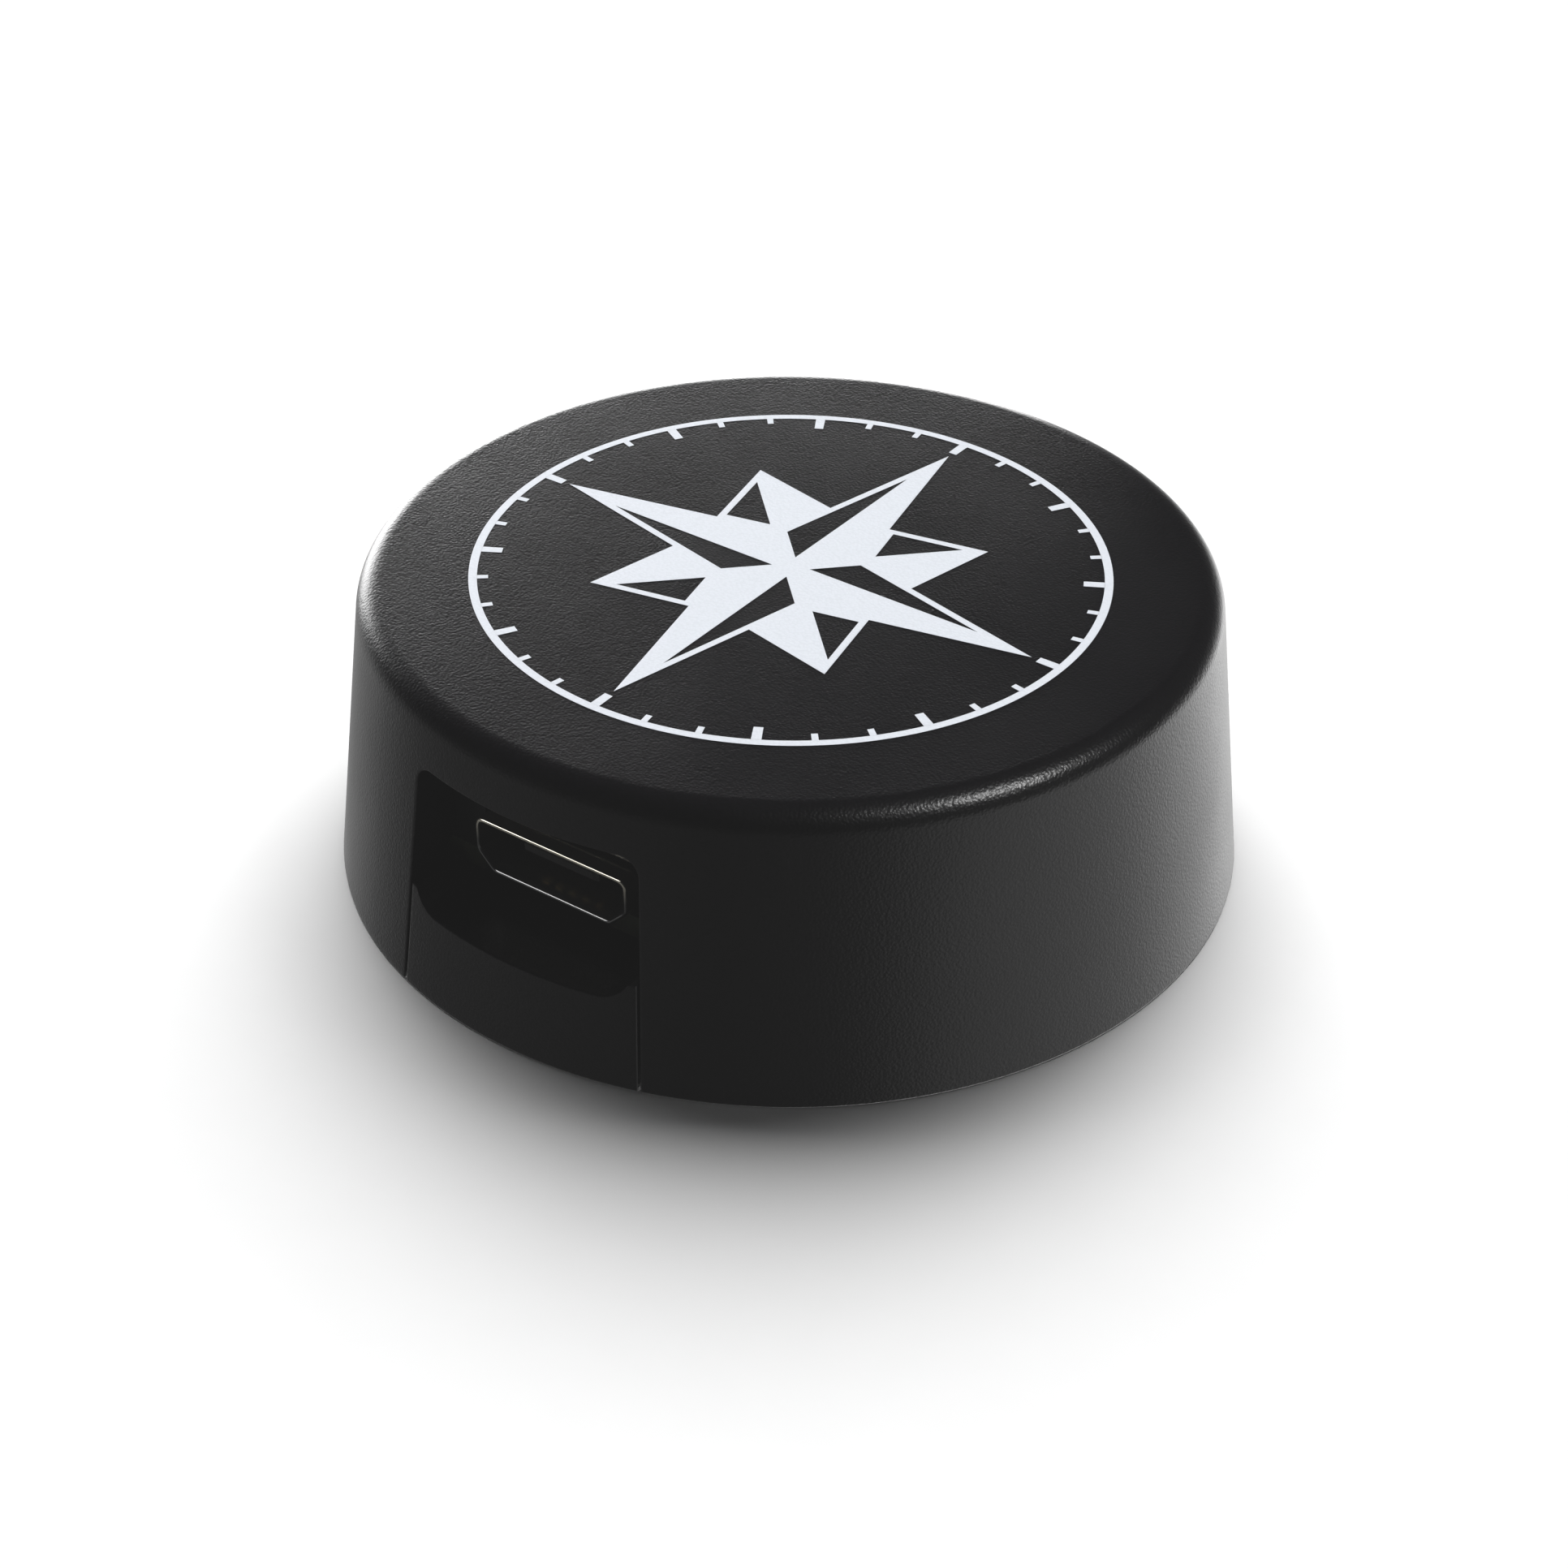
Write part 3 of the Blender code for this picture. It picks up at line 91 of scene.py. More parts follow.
def notch_half_width(z):
    """Half the notch's width: its half width at the base less the height times its draft."""
    return notch_base_half - z * math.tan(notch_draft)


class Skin:
    """The points and faces of one mesh, gathered a grid at a time."""

    def __init__(self):
        self.points = np.empty((0, 3))
        self.faces = []

    def add(self, points):
        """Keeps a grid of points and gives the grid of their numbers."""
        numbers = np.arange(points[..., 0].size).reshape(points.shape[:-1]) + len(self.points)
        self.points = np.vstack([self.points, points.reshape(-1, 3)])
        return numbers

    def cover(self, numbers, keep=...):
        """Lays a four-sided face between each two rows and two columns of numbers."""
        corners = [numbers[:-1, :-1], numbers[:-1, 1:], numbers[1:, 1:], numbers[1:, :-1]]
        self.faces += np.stack(corners, -1)[keep].reshape(-1, 4).tolist()

    def cap(self, loop):
        """Closes a loop of numbers with one flat face."""
        self.faces.append(loop.tolist())

    def fill(self, outlines):
        """Makes a solid through rows of closed outlines, with a flat face at each end."""
        numbers = self.add(outlines)
        self.cover(ringed(numbers))
        self.cap(numbers[0])
        self.cap(numbers[-1])


def ringed(numbers):
    """Repeats the first column after the last, so that a grid closes on itself."""
    return np.hstack([numbers, numbers[:, :1]])


def rounding(first, corner, last, steps=4):
    """Levels of a parabola from first to last that leans on the corner, for whole arrays."""
    t = np.linspace(0, 1, steps + 1)[:, None, None]
    return (1 - t) ** 2 * first + 2 * t * (1 - t) * corner + t**2 * last


def eased(corners, steps=4):
    """A closed outline with eased corners.

    Each (u, v, reach) becomes a parabola that leaves one side at the reach before the corner
    and joins the next side at the reach after it. A reach of 0 keeps the corner sharp.
    """
    outline = []
    for i, (u, v, reach) in enumerate(corners):
        here = np.array((u, v))
        back = np.array(corners[i - 1][:2]) - here
        ahead = np.array(corners[(i + 1) % len(corners)][:2]) - here
        if reach:
            first = here + back / np.linalg.norm(back) * reach
            last = here + ahead / np.linalg.norm(ahead) * reach
            outline.append(rounding(first, here, last, steps)[:, 0])
        else:
            outline.append(here[None])
    return np.vstack(outline)


def turned(skin, profile, segments, centre=(0, 0), ring=False):
    """Spins a profile about an upright axis.

    x is the radius times the turn's cosine, y the radius times its sine, and z the height.
    A ring's profile is closed, and another starts and ends on the axis.
    """
    radius, height = np.array(profile).T[:, :, None]
    turn = np.linspace(0, 2 * math.pi, segments, endpoint=False)
    x = centre[0] + radius * np.cos(turn)
    y = centre[1] + radius * np.sin(turn)
    numbers = skin.add(np.stack([x, y, height + 0 * turn], -1))
    if ring:
        numbers = np.vstack([numbers, numbers[:1]])
    skin.cover(ringed(numbers))


def prism(skin, outline, low, high, along="Z"):
    """Carries a closed outline straight along Z, or along Y with (u, v) as x and z."""
    ends = []
    for level in (low, high):
        flat = np.full(len(outline), level)
        u, v = np.array(outline).T
        ends.append(np.stack([u, v, flat] if along == "Z" else [u, flat, v], -1))
    skin.fill(np.stack(ends))


def to_mesh(name, skin, merge=True):
    """Makes a mesh of a skin, with its doubles merged and its faces outward."""
    bm = bmesh.new()
    mesh = bpy.data.meshes.new(name)
    mesh.from_pydata(skin.points, [], skin.faces)
    bm.from_mesh(mesh)
    if merge:
        bmesh.ops.remove_doubles(bm, verts=bm.verts, dist=weld)
        bmesh.ops.dissolve_degenerate(bm, dist=1e-9, edges=bm.edges[:])
    bmesh.ops.recalc_face_normals(bm, faces=bm.faces)
    bm.to_mesh(mesh)
    bm.free()
    return mesh


def carve(mesh, *steps):
    """Joins closed skins to a mesh (UNION) or cuts them from it (DIFFERENCE), in turn."""
    work = bpy.data.objects.new("work", mesh)
    bpy.context.collection.objects.link(work)
    helpers = []
    for operation, skin in steps:
        other = bpy.data.objects.new("helper", to_mesh("helper", skin))
        bpy.context.collection.objects.link(other)
        modifier = work.modifiers.new("step", "BOOLEAN")
        modifier.operation, modifier.solver, modifier.object = operation, "EXACT", other
        helpers.append(other)
    bpy.context.view_layer.update()
    graph = bpy.context.evaluated_depsgraph_get()
    carved = bpy.data.meshes.new_from_object(work.evaluated_get(graph))
    for old in [work, *helpers]:
        bpy.data.objects.remove(old)
    return carved


def fit_piece(name, shape, material, slot, *nodes, body="case"):
    """Puts a skin or a finished mesh in place of CAD nodes, on the body that it moves with."""
    mesh = to_mesh(name, shape) if isinstance(shape, Skin) else shape
    made = bpy.data.objects.new(name, mesh)
    bpy.context.collection.objects.link(made)
    mesh.materials.clear()
    mesh.materials.append(material)
    mesh.shade_smooth()
    mesh.set_sharp_from_angle(angle=sharp_angle)
    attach(made, body)
    if nodes:
        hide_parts(*nodes)
    return made


def place_node(tree, kind, values=(), **settings):
    """Adds a shader node, with its settings and its unlinked input values."""
    node = tree.nodes.new(kind)
    for setting, value in settings.items():
        setattr(node, setting, value)
    for socket, value in dict(values).items():
        node.inputs[socket].default_value = value
    return node


def mixed(tree, share, first, second):
    """Mixes two colours, or one colour and a linked one, by a linked share."""
    mix = place_node(tree, "ShaderNodeMix", data_type="RGBA")
    tree.links.new(share, mix.inputs[0])
    for socket, colour in ((mix.inputs[6], first), (mix.inputs[7], second)):
        if isinstance(colour, tuple):
            socket.default_value = (*colour, 1)
        else:
            tree.links.new(colour, socket)
    return mix.outputs[2]


def ranged(tree, value, low, high, start=0.0, end=1.0):
    """Carries a value from the range start..end to low..high, held at both ends."""
    node = place_node(tree, "ShaderNodeMapRange", {1: start, 2: end, 3: low, 4: high})
    tree.links.new(value, node.inputs[0])
    return node.outputs[0]


def add_texture(tree, kind, values=(), **settings):
    """Adds a texture that takes the object's own coordinates."""
    texture = place_node(tree, kind, values, **settings)
    place = place_node(tree, "ShaderNodeTexCoord").outputs["Object"]
    tree.links.new(place, texture.inputs["Vector"])
    return texture


def start_group(name, outputs, inputs):
    """A shader node group: named float inputs with their defaults, and named outputs."""
    group = bpy.data.node_groups.new(name, "ShaderNodeTree")
    for socket, value in inputs.items():
        made = group.interface.new_socket(socket, in_out="INPUT", socket_type="NodeSocketFloat")
        made.default_value = value
    for socket in outputs:
        group.interface.new_socket(socket, in_out="OUTPUT", socket_type="NodeSocketFloat")
    return group, group.nodes.new("NodeGroupInput"), group.nodes.new("NodeGroupOutput")


def pebble_grain():
    """Mould texture: rounded pebbles from cell distances, roughened by a finer noise.

    Height is the pebbles' relief. The other output marks the low spots between them,
    which the materials darken as painted shade.
    """
    group, given, out = start_group("pebble_grain", ("Height", "Shade_in_pits"), {"Density": 9000.0})
    cells = add_texture(
        group, "ShaderNodeTexVoronoi", {"Smoothness": 0.7}, feature="SMOOTH_F1"
    )
    noise = add_texture(group, "ShaderNodeTexNoise", {"Detail": 2.0, "Roughness": 0.6})
    for texture in (cells, noise):
        group.links.new(given.outputs["Density"], texture.inputs["Scale"])
    pebbles = ranged(group, cells.outputs["Distance"], 1.0, 0.0, 0.1, 0.9)
    noise_share = 0.9
    total = place_node(group, "ShaderNodeMath", {1: noise_share}, operation="MULTIPLY_ADD")
    group.links.new(noise.outputs["Fac"], total.inputs[0])
    group.links.new(pebbles, total.inputs[2])
    group.links.new(total.outputs[0], out.inputs["Height"])
    # Painted shade: this share is highest in the low spots between pebbles.
    pit_shade = ranged(group, total.outputs[0], 1.0, 0.0, 0.65, 1.2)
    group.links.new(pit_shade, out.inputs["Shade_in_pits"])
    return group


def handling():
    """Use marks: Smudge is a broad soft cloudiness that dulls the gloss in places."""
    group, given, out = start_group("handling", ("Smudge",), {"Density": 130.0})
    cloud = add_texture(group, "ShaderNodeTexNoise", {"Detail": 4.0, "Roughness": 0.55})
    group.links.new(given.outputs["Density"], cloud.inputs["Scale"])
    group.links.new(ranged(group, cloud.outputs["Fac"], 0, 1, 0.3, 0.7), out.inputs["Smudge"])
    return group


grain_group, handling_group = pebble_grain(), handling()


def start_material(name, roughness, metallic=0.0, specular=0.5):
    """A material whose even values stand on its own Principled shader."""
    material = bpy.data.materials.new(name)
    material.use_nodes = True
    shader = material.node_tree.nodes["Principled BSDF"]
    shader.inputs["Roughness"].default_value = roughness
    shader.inputs["Metallic"].default_value = metallic
    shader.inputs["Specular IOR Level"].default_value = specular
    return material, material.node_tree, shader


def add_finish(tree, shader, tone, gloss, height, depth):
    """Links a colour and a roughness, and raises a height of 0..1 to a depth as a bump."""
    bump = place_node(tree, "ShaderNodeBump", {"Strength": 1.0, "Distance": depth})
    tree.links.new(height, bump.inputs["Height"])
    ends = {"Base Color": tone, "Roughness": gloss, "Normal": bump.outputs["Normal"]}
    for socket, source in ends.items():
        if source:
            tree.links.new(source, shader.inputs[socket])


def grained_plastic(name, light, dark, roughness, specular, density, depth):
    """Moulded plastic: painted shade between the pebbles, cloudy gloss, and pebbles as relief."""
    material, tree, shader = start_material(name, roughness, specular=specular)
    grain = place_node(tree, "ShaderNodeGroup", node_tree=grain_group)
    grain.inputs["Density"].default_value = density
    use = place_node(tree, "ShaderNodeGroup", node_tree=handling_group)
    # Painted shade: the dark tone goes to the low spots between pebbles.
    tone = mixed(tree, grain.outputs["Shade_in_pits"], light, dark)
    gloss = ranged(tree, use.outputs["Smudge"], roughness - 0.03, roughness + 0.04)
    add_finish(tree, shader, tone, gloss, grain.outputs["Height"], depth)
    return material


case_plastic = grained_plastic(
    "case_plastic", (0.0030, 0.0026, 0.0036), (0.0018, 0.0016, 0.0022),
    roughness=0.31, specular=0.45, density=9000.0, depth=0.009 * mm,
)


def tongue_grid(margin):
    """The tongue seen from the front, as a grid of sides u and heights v.

    x is u times the half width at that height, less the margin. The upper edge is level in
    the middle and rises beside the window on a circle's arc, up to a narrow horn at each side.
    """
    seam, dip, corner, horn_tip = 0.11 * mm, 5.5 * mm, 1.6 * mm, 0.2 * mm
    arc_height = 4.3 * mm  # the half width at this height measures the way into the arc
    side = np.linspace(0.7, 1, 19)
    u = np.concatenate([-side[::-1], np.linspace(-0.7, 0.7, 30)[1:-1], side])
    window = notch_half_width(dip) - seam
    across = np.abs(u) * (notch_half_width(arc_height) - seam)
    into_arc = np.clip(across - (window - corner), 0, corner - horn_tip)
    top = dip - np.sqrt(corner**2 - into_arc**2) - margin
    v = np.linspace(0, 1, 17)[:, None]
    z = margin + v * (top - margin)
    return u * (notch_half_width(z) - seam - margin), z


def loop_of(numbers):
    """The border of a grid of numbers, once round."""
    return np.concatenate(
        [numbers[0, :-1], numbers[:-1, -1], numbers[-1, :0:-1], numbers[:0:-1, 0]]
    )


def loop_as_index(shape):
    """Row and column numbers of a grid's border, in the order of loop_of."""
    rows, columns = np.indices(shape)
    return loop_of(rows), loop_of(columns)


def tongue_skin():
    """The tongue: its drafted front, eased edges, and sides that run straight back."""
    skin = Skin()
    x, z = tongue_grid(soft_edge)
    front = skin.add(np.stack([x, -np.sqrt(outer_radius(z) ** 2 - x**2), z], -1))
    skin.cover(front)
    x, z = tongue_grid(0.0)
    sharp = np.stack([x, -np.sqrt(outer_radius(z) ** 2 - x**2), z], -1)
    back = skin.add(np.stack([x, np.full_like(x, block_face), z], -1))
    skin.cover(back)
    edge = loop_of(front)
    corner = sharp[loop_as_index(x.shape)]
    deep = corner + (0, soft_edge, 0)
    levels = rounding(skin.points[edge], corner, deep)[1:]
    chain = np.vstack([edge, skin.add(levels), loop_of(back)])
    skin.cover(ringed(chain))
    return skin


cover_radius, cover_thickness, cover_ease = 17.13 * mm, 1.5 * mm, 0.12 * mm
root = 0.8 * mm  # the height inside the cover from which pads and posts rise
pad_radius, pad_top = 2.6 * mm, 2.3 * mm
post_radius, post_top = 1.7 * mm, 4.17 * mm
well_mouth, well_radius, well_roof = 3.1 * mm, 2.0 * mm, 1.25 * mm
case_hole, board_hole, board_hole_foot = 1.15 * mm, 0.65 * mm, 1.92 * mm
boss_x, boss_y = 12.1199 * mm, 7.8708 * mm
boss_places = [(side * boss_x, way * boss_y) for side in (1, -1) for way in (1, -1)]
board_screw_places = [(6.88 * mm, 11.92 * mm), (-6.88 * mm, 11.92 * mm)]
board_screw_places += [(-7.70 * mm, -11.41 * mm), (7.70 * mm, -11.41 * mm)]

disc = Skin()
near_edge = cover_radius - 0.25 * mm  # this ring keeps the flat face's shading flat
disc_profile = [(0, 0, 0), (near_edge, 0, 0), (cover_radius, 0, cover_ease)]
disc_profile += [(cover_radius, cover_thickness, cover_ease)]
disc_profile += [(near_edge, cover_thickness, 0), (0, cover_thickness, 0)]
turned(disc, eased(disc_profile), 240)
supports, recesses, bores = Skin(), Skin(), Skin()
for place in boss_places:
    pad = [(0, root, 0), (pad_radius, root, 0), (pad_radius, pad_top, 0.15 * mm)]
    turned(supports, eased([*pad, (0, pad_top, 0)]), 48, place)
    well = [(0, -1 * mm), (well_mouth, -1 * mm), (well_radius, 0.1 * mm)]
    well += [(well_radius, well_roof), (case_hole, well_roof), (case_hole, 4.5 * mm)]
    turned(recesses, [*well, (0, 4.5 * mm)], 48, place)
for place in board_screw_places:
    post = [(0, root, 0), (post_radius, root, 0), (post_radius, post_top, 0.12 * mm)]
    turned(supports, eased([*post, (0, post_top, 0)]), 40, place)
    bore = [(0, board_hole_foot), (board_hole, board_hole_foot), (board_hole, 5 * mm)]
    turned(bores, [*bore, (0, 5 * mm)], 24, place)
cover_mesh = carve(
    to_mesh("base_cover_moulding", disc),
    ("UNION", tongue_skin()),
    ("UNION", supports),
    ("DIFFERENCE", recesses),
    ("DIFFERENCE", bores),
)
fit_piece("base_cover_moulding", cover_mesh, case_plastic, "case_plastic", "base_cover")

# ---------------------------------------------------------------- charging port
# The receptacle's shell is one steel sheet folded to a tube with chamfered lower corners and
# tinned, with two feet soldered to the board. A black plastic body inside carries a flat
# tongue, and five gold-plated contacts lie under it.

port_mouth, port_rear, sheet = -15.8 * mm, -10.8 * mm, 0.25 * mm
port_half, port_low, port_top, port_chamfer = 3.75 * mm, 5.27 * mm, 7.65 * mm, 0.83 * mm
foot_front, foot_back = -13.4 * mm, -12.0 * mm


def receptacle_outline(inset):
    """The receptacle's front outline, moved inwards by an inset."""
    half, top, low = port_half - inset, port_top - inset, port_low + inset
    chamfer = port_chamfer - inset * (2 - math.sqrt(2))
    right = [(half, top, 0.42 * mm - inset / 2), (half, low + chamfer, 0.2 * mm)]
    right.append((half - chamfer, low, 0.2 * mm))
    left = [(-x, z, reach) for x, z, reach in reversed(right)]
    return eased(right + left, 6)


def rows_at(outline_at, stations, along="Y"):
    """One row of points for each (place, inset): the inset outline at that place."""
    rows = []
    for place, inset in stations:
        u, v = outline_at(inset).T
        flat = np.full(len(u), place)
        rows.append(np.stack([u, flat, v] if along == "Y" else [u, v, flat], -1))
    return np.array(rows)


def soft_ends(low, high, ease, steps=3):
    """Stations from low to high whose insets round both ends by a parabola."""
    t = np.linspace(0, 1, steps + 1)
    ends = [(low + ease * s**2, ease * (1 - s) ** 2) for s in t]
    return ends + [(high - (place - low), inset) for place, inset in reversed(ends)]


def receptacle_skin():
    """The folded tube: outside, round the mouth's rim, and back along the inside.

    The rim is thinner than the sheet, which reaches its full thickness 0.5 mm inside.
    """
    skin, lip, soft = Skin(), 0.18 * mm, 0.088 * mm

    def level(y, inset):
        return rows_at(receptacle_outline, [(y, inset)])[0]

    outside = [level(port_rear, 0), level(port_mouth + 1 * mm, 0)]
    turn_out = rounding(level(port_mouth + soft, 0), level(port_mouth, 0), level(port_mouth, soft))
    inner_corner = level(port_mouth, lip), level(port_mouth + soft, lip)
    turn_in = rounding(level(port_mouth, lip - soft), *inner_corner)
    inside = [level(port_mouth + 0.5 * mm, sheet), level(port_rear, sheet)]
    numbers = skin.add(np.concatenate([outside, turn_out, turn_in, inside]))
    skin.cover(ringed(np.vstack([numbers, numbers[:1]])))
    foot = [(3.55, 6.35), (3.78, 6.3), (3.98, 5.75), (4.45, 5.52), (4.45, 5.27), (3.55, 5.27)]
    for side in (-1, 1):
        prism(skin, [(side * x * mm, z * mm) for x, z in foot], foot_front, foot_back, "Y")
    return skin


def brushed_sheet():
    """Rolling marks on metal: a noise drawn out along one axis, with a softer stain under it."""
    group, given, out = start_group("brushed_sheet", ("Height", "Stain"), {"Density": 9000.0})
    drawn = add_texture(group, "ShaderNodeMapping", {"Scale": (0.06, 1.0, 1.0)})
    marks = place_node(group, "ShaderNodeTexNoise", {"Detail": 3.0, "Roughness": 0.7})
    group.links.new(drawn.outputs["Vector"], marks.inputs["Vector"])
    group.links.new(given.outputs["Density"], marks.inputs["Scale"])
    group.links.new(marks.outputs["Fac"], out.inputs["Height"])
    stain = add_texture(group, "ShaderNodeTexNoise", {"Scale": 700.0, "Detail": 4.0})
    group.links.new(ranged(group, stain.outputs["Fac"], 0, 1, 0.35, 0.7), out.inputs["Stain"])
    return group


brushed_group = brushed_sheet()


def sheet_metal(name, bright, dull, roughness, density=9000.0, depth=0.0015 * mm):
    """Plated or rolled metal: stained tone and gloss, with rolling marks as relief."""
    material, tree, shader = start_material(name, roughness, metallic=1.0)
    marks = place_node(tree, "ShaderNodeGroup", node_tree=brushed_group)
    marks.inputs["Density"].default_value = density
    tone = mixed(tree, marks.outputs["Stain"], bright, dull)
    gloss = ranged(tree, marks.outputs["Height"], roughness - 0.06, roughness + 0.1, 0.3, 0.7)
    add_finish(tree, shader, tone, gloss, marks.outputs["Height"], depth)
    return material


receptacle_steel, tree, shader = start_material("receptacle_steel", 0.2, metallic=1.0)
marks = place_node(tree, "ShaderNodeGroup", node_tree=brushed_group)
plated = mixed(tree, marks.outputs["Stain"], (0.90, 0.86, 0.74), (0.76, 0.72, 0.61))
split = add_texture(tree, "ShaderNodeSeparateXYZ")
# Painted shade: the shell's tone darkens from 7.3 mm down to 6.6 mm and stays dark below.
upper = ranged(tree, split.outputs["Z"], 0.0, 1.0, 6.6 * mm, 7.3 * mm)
shell_tone_shaded_below = mixed(tree, upper, (0.24, 0.24, 0.24), plated)  # painted shade: darker from 7.3 mm down to 6.6 mm and below
sheen = ranged(tree, marks.outputs["Height"], 0.14, 0.26, 0.3, 0.7)
add_finish(tree, shader, shell_tone_shaded_below, sheen, marks.outputs["Height"], 0.0015 * mm)
receptacle = fit_piece(
    "receptacle_shell", receptacle_skin(), receptacle_steel, "receptacle_steel", "usb_shell"
)

insulator = Skin()
rear_face = soft_ends(port_rear - 1.5 * mm, port_rear, 0.05 * mm)
insulator.fill(rows_at(lambda inset: receptacle_outline(0.3 * mm + inset), rear_face))


def tongue_section(inset):
    """The receptacle's tongue across: a flat bar above the contacts."""
    half, low, high = 1.85 * mm - inset, 6.46 * mm + inset, 7.08 * mm - inset
    ease = 0.06 * mm
    return eased([(half, high, ease), (half, low, ease), (-half, low, ease), (-half, high, ease)])


tongue_stations = [(-15.25 * mm, 0.16 * mm), (-15.05 * mm, 0), (-11.5 * mm, 0)]
insulator.fill(rows_at(tongue_section, tongue_stations))
receptacle_plastic = grained_plastic(
    "receptacle_plastic", (0.010, 0.010, 0.010), (0.006, 0.006, 0.006),
    roughness=0.5, specular=0.4, density=14000.0, depth=0.003 * mm,
)
fit_piece("receptacle_body", insulator, receptacle_plastic, "receptacle_plastic", "usb_insulator")


def dress(material, *nodes):
    """Gives a finish to CAD nodes whose shape is kept."""
    for node in nodes:
        for kept in bpy.data.objects[node].material_slots:
            kept.material = material


contact_gold = sheet_metal("contact_gold", (0.86, 0.64, 0.28), (0.74, 0.52, 0.20), 0.22)


def contact_skin(middle):
    """A spring contact: a strip under the tongue whose front end bends up into it.

    The strip's height rises by a parabola over the bend at its front.
    """
    skin = Skin()
    front, rear, bend, lift = -14.75 * mm, -12.35 * mm, 0.5 * mm, 0.12 * mm
    y = np.linspace(front, rear, 25)[:, None]
    rise = np.clip((front + bend - y) / bend, 0, 1) ** 2 * lift
    outline = [(0.17, 6.41, 0.03), (0.17, 6.29, 0.03), (-0.17, 6.29, 0.03), (-0.17, 6.41, 0.03)]
    x, z = eased([(u * mm, v * mm, reach * mm) for u, v, reach in outline], 2).T
    skin.fill(np.stack([middle + x + 0 * y, y + 0 * x, z + rise], -1))
    return skin


for number in range(1, 6):
    node = f"usb_contact_{number}"
    low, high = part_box(node)
    strip = contact_skin((low[0] + high[0]) / 2)
    fit_piece(f"spring_contact_{number}", strip, contact_gold, "contact_gold", node)

# ---------------------------------------------------------------- circuit board
# A black laminate board on the cover's four standoffs. It carries the controller and the
# charging parts on top, and the heading sensor and the shielded radio underneath.


def board_surface():
    """Solder mask over copper: Weave is the glass cloth, Copper the traces and pads under it.

    Weave is the product of two crossing waves. Copper is the band of a distance to cell
    walls, measured corner-wise, so that it runs level, upright and at 45 degrees.
    """
    group, given, out = start_group("board_surface", ("Weave", "Copper"), {"Density": 900.0})
    threads = place_node(group, "ShaderNodeMath", operation="MULTIPLY")
    for axis, socket in (("X", threads.inputs[0]), ("Y", threads.inputs[1])):
        wave = add_texture(group, "ShaderNodeTexWave", {"Scale": 900.0}, bands_direction=axis)
        group.links.new(wave.outputs["Fac"], socket)
    group.links.new(threads.outputs[0], out.inputs["Weave"])
    runs = add_texture(group, "ShaderNodeTexVoronoi", distance="CHEBYCHEV")
    group.links.new(given.outputs["Density"], runs.inputs["Scale"])
    copper = ranged(group, runs.outputs["Distance"], 0, 1, 0.34, 0.38)
    group.links.new(copper, out.inputs["Copper"])
    return group


board_laminate, tree, shader = start_material("board_laminate", 0.3)
surface = place_node(tree, "ShaderNodeGroup", node_tree=board_surface())
mask_tone = mixed(tree, surface.outputs["Copper"], (0.008, 0.012, 0.010), (0.022, 0.026, 0.016))
mask_gloss = ranged(tree, surface.outputs["Weave"], 0.26, 0.36)
add_finish(tree, shader, mask_tone, mask_gloss, surface.outputs["Copper"], 0.02 * mm)
dress(board_laminate, "main_board")

chip_epoxy = grained_plastic(
    "chip_epoxy", (0.022, 0.022, 0.024), (0.012, 0.012, 0.013),
    roughness=0.55, specular=0.4, density=22000.0, depth=0.003 * mm,
)
dress(chip_epoxy, "microcontroller", "charger_chip", "voltage_regulator", "heading_sensor")
dress(chip_epoxy, "motion_sensor", "resistor_1", "resistor_2", "resistor_3")
ferrite = grained_plastic(
    "ferrite", (0.085, 0.085, 0.09), (0.04, 0.04, 0.043),
    roughness=0.7, specular=0.3, density=16000.0, depth=0.01 * mm,
)
dress(ferrite, "power_inductor")
ceramic = grained_plastic(
    "ceramic", (0.46, 0.36, 0.26), (0.34, 0.26, 0.18),
    roughness=0.45, specular=0.5, density=26000.0, depth=0.002 * mm,
)
dress(ceramic, "chip_antenna", *[f"capacitor_{number}" for number in range(1, 5)])
shield_tinplate = sheet_metal("shield_tinplate", (0.72, 0.72, 0.70), (0.55, 0.55, 0.54), 0.3)
dress(shield_tinplate, "radio_shield_can", "crystal")

# ---------------------------------------------------------------- battery
# A pouch cell over the board, taped under the roof and resting on two foam strips. Its tabs
# go to a taped protection strip, and two soft leads run from there to a small plug.

cell_foil, tree, shader = start_material("cell_foil", 0.35, metallic=1.0)
rolled = place_node(tree, "ShaderNodeGroup", node_tree=brushed_group)
foil_tone = mixed(tree, rolled.outputs["Stain"], (0.70, 0.71, 0.73), (0.56, 0.57, 0.60))
creases = add_texture(tree, "ShaderNodeTexNoise", {"Scale": 420.0, "Detail": 3.0})
foil_gloss = ranged(tree, creases.outputs["Fac"], 0.28, 0.42, 0.3, 0.7)
add_finish(tree, shader, foil_tone, foil_gloss, creases.outputs["Fac"], 0.12 * mm)
dress(cell_foil, "battery_cell")

nickel_strip = sheet_metal("nickel_strip", (0.72, 0.70, 0.66), (0.58, 0.56, 0.52), 0.26)
dress(nickel_strip, "cell_tab_1", "cell_tab_2", "switch_frame")
polyimide_tape = grained_plastic(
    "polyimide_tape", (0.66, 0.37, 0.06), (0.52, 0.27, 0.04),
    roughness=0.2, specular=0.5, density=1500.0, depth=0.03 * mm,
)
dress(polyimide_tape, "cell_protection_strip")
adhesive_pad = grained_plastic(
    "adhesive_pad", (0.77, 0.77, 0.74), (0.62, 0.62, 0.59),
    roughness=0.85, specular=0.3, density=3200.0, depth=0.04 * mm,
)
dress(adhesive_pad, "battery_adhesive_pad")
foam = grained_plastic(
    "foam", (0.034, 0.034, 0.036), (0.01, 0.01, 0.01),
    roughness=0.95, specular=0.2, density=3600.0, depth=0.12 * mm,
)
dress(foam, "battery_foam_strip_1", "battery_foam_strip_2")
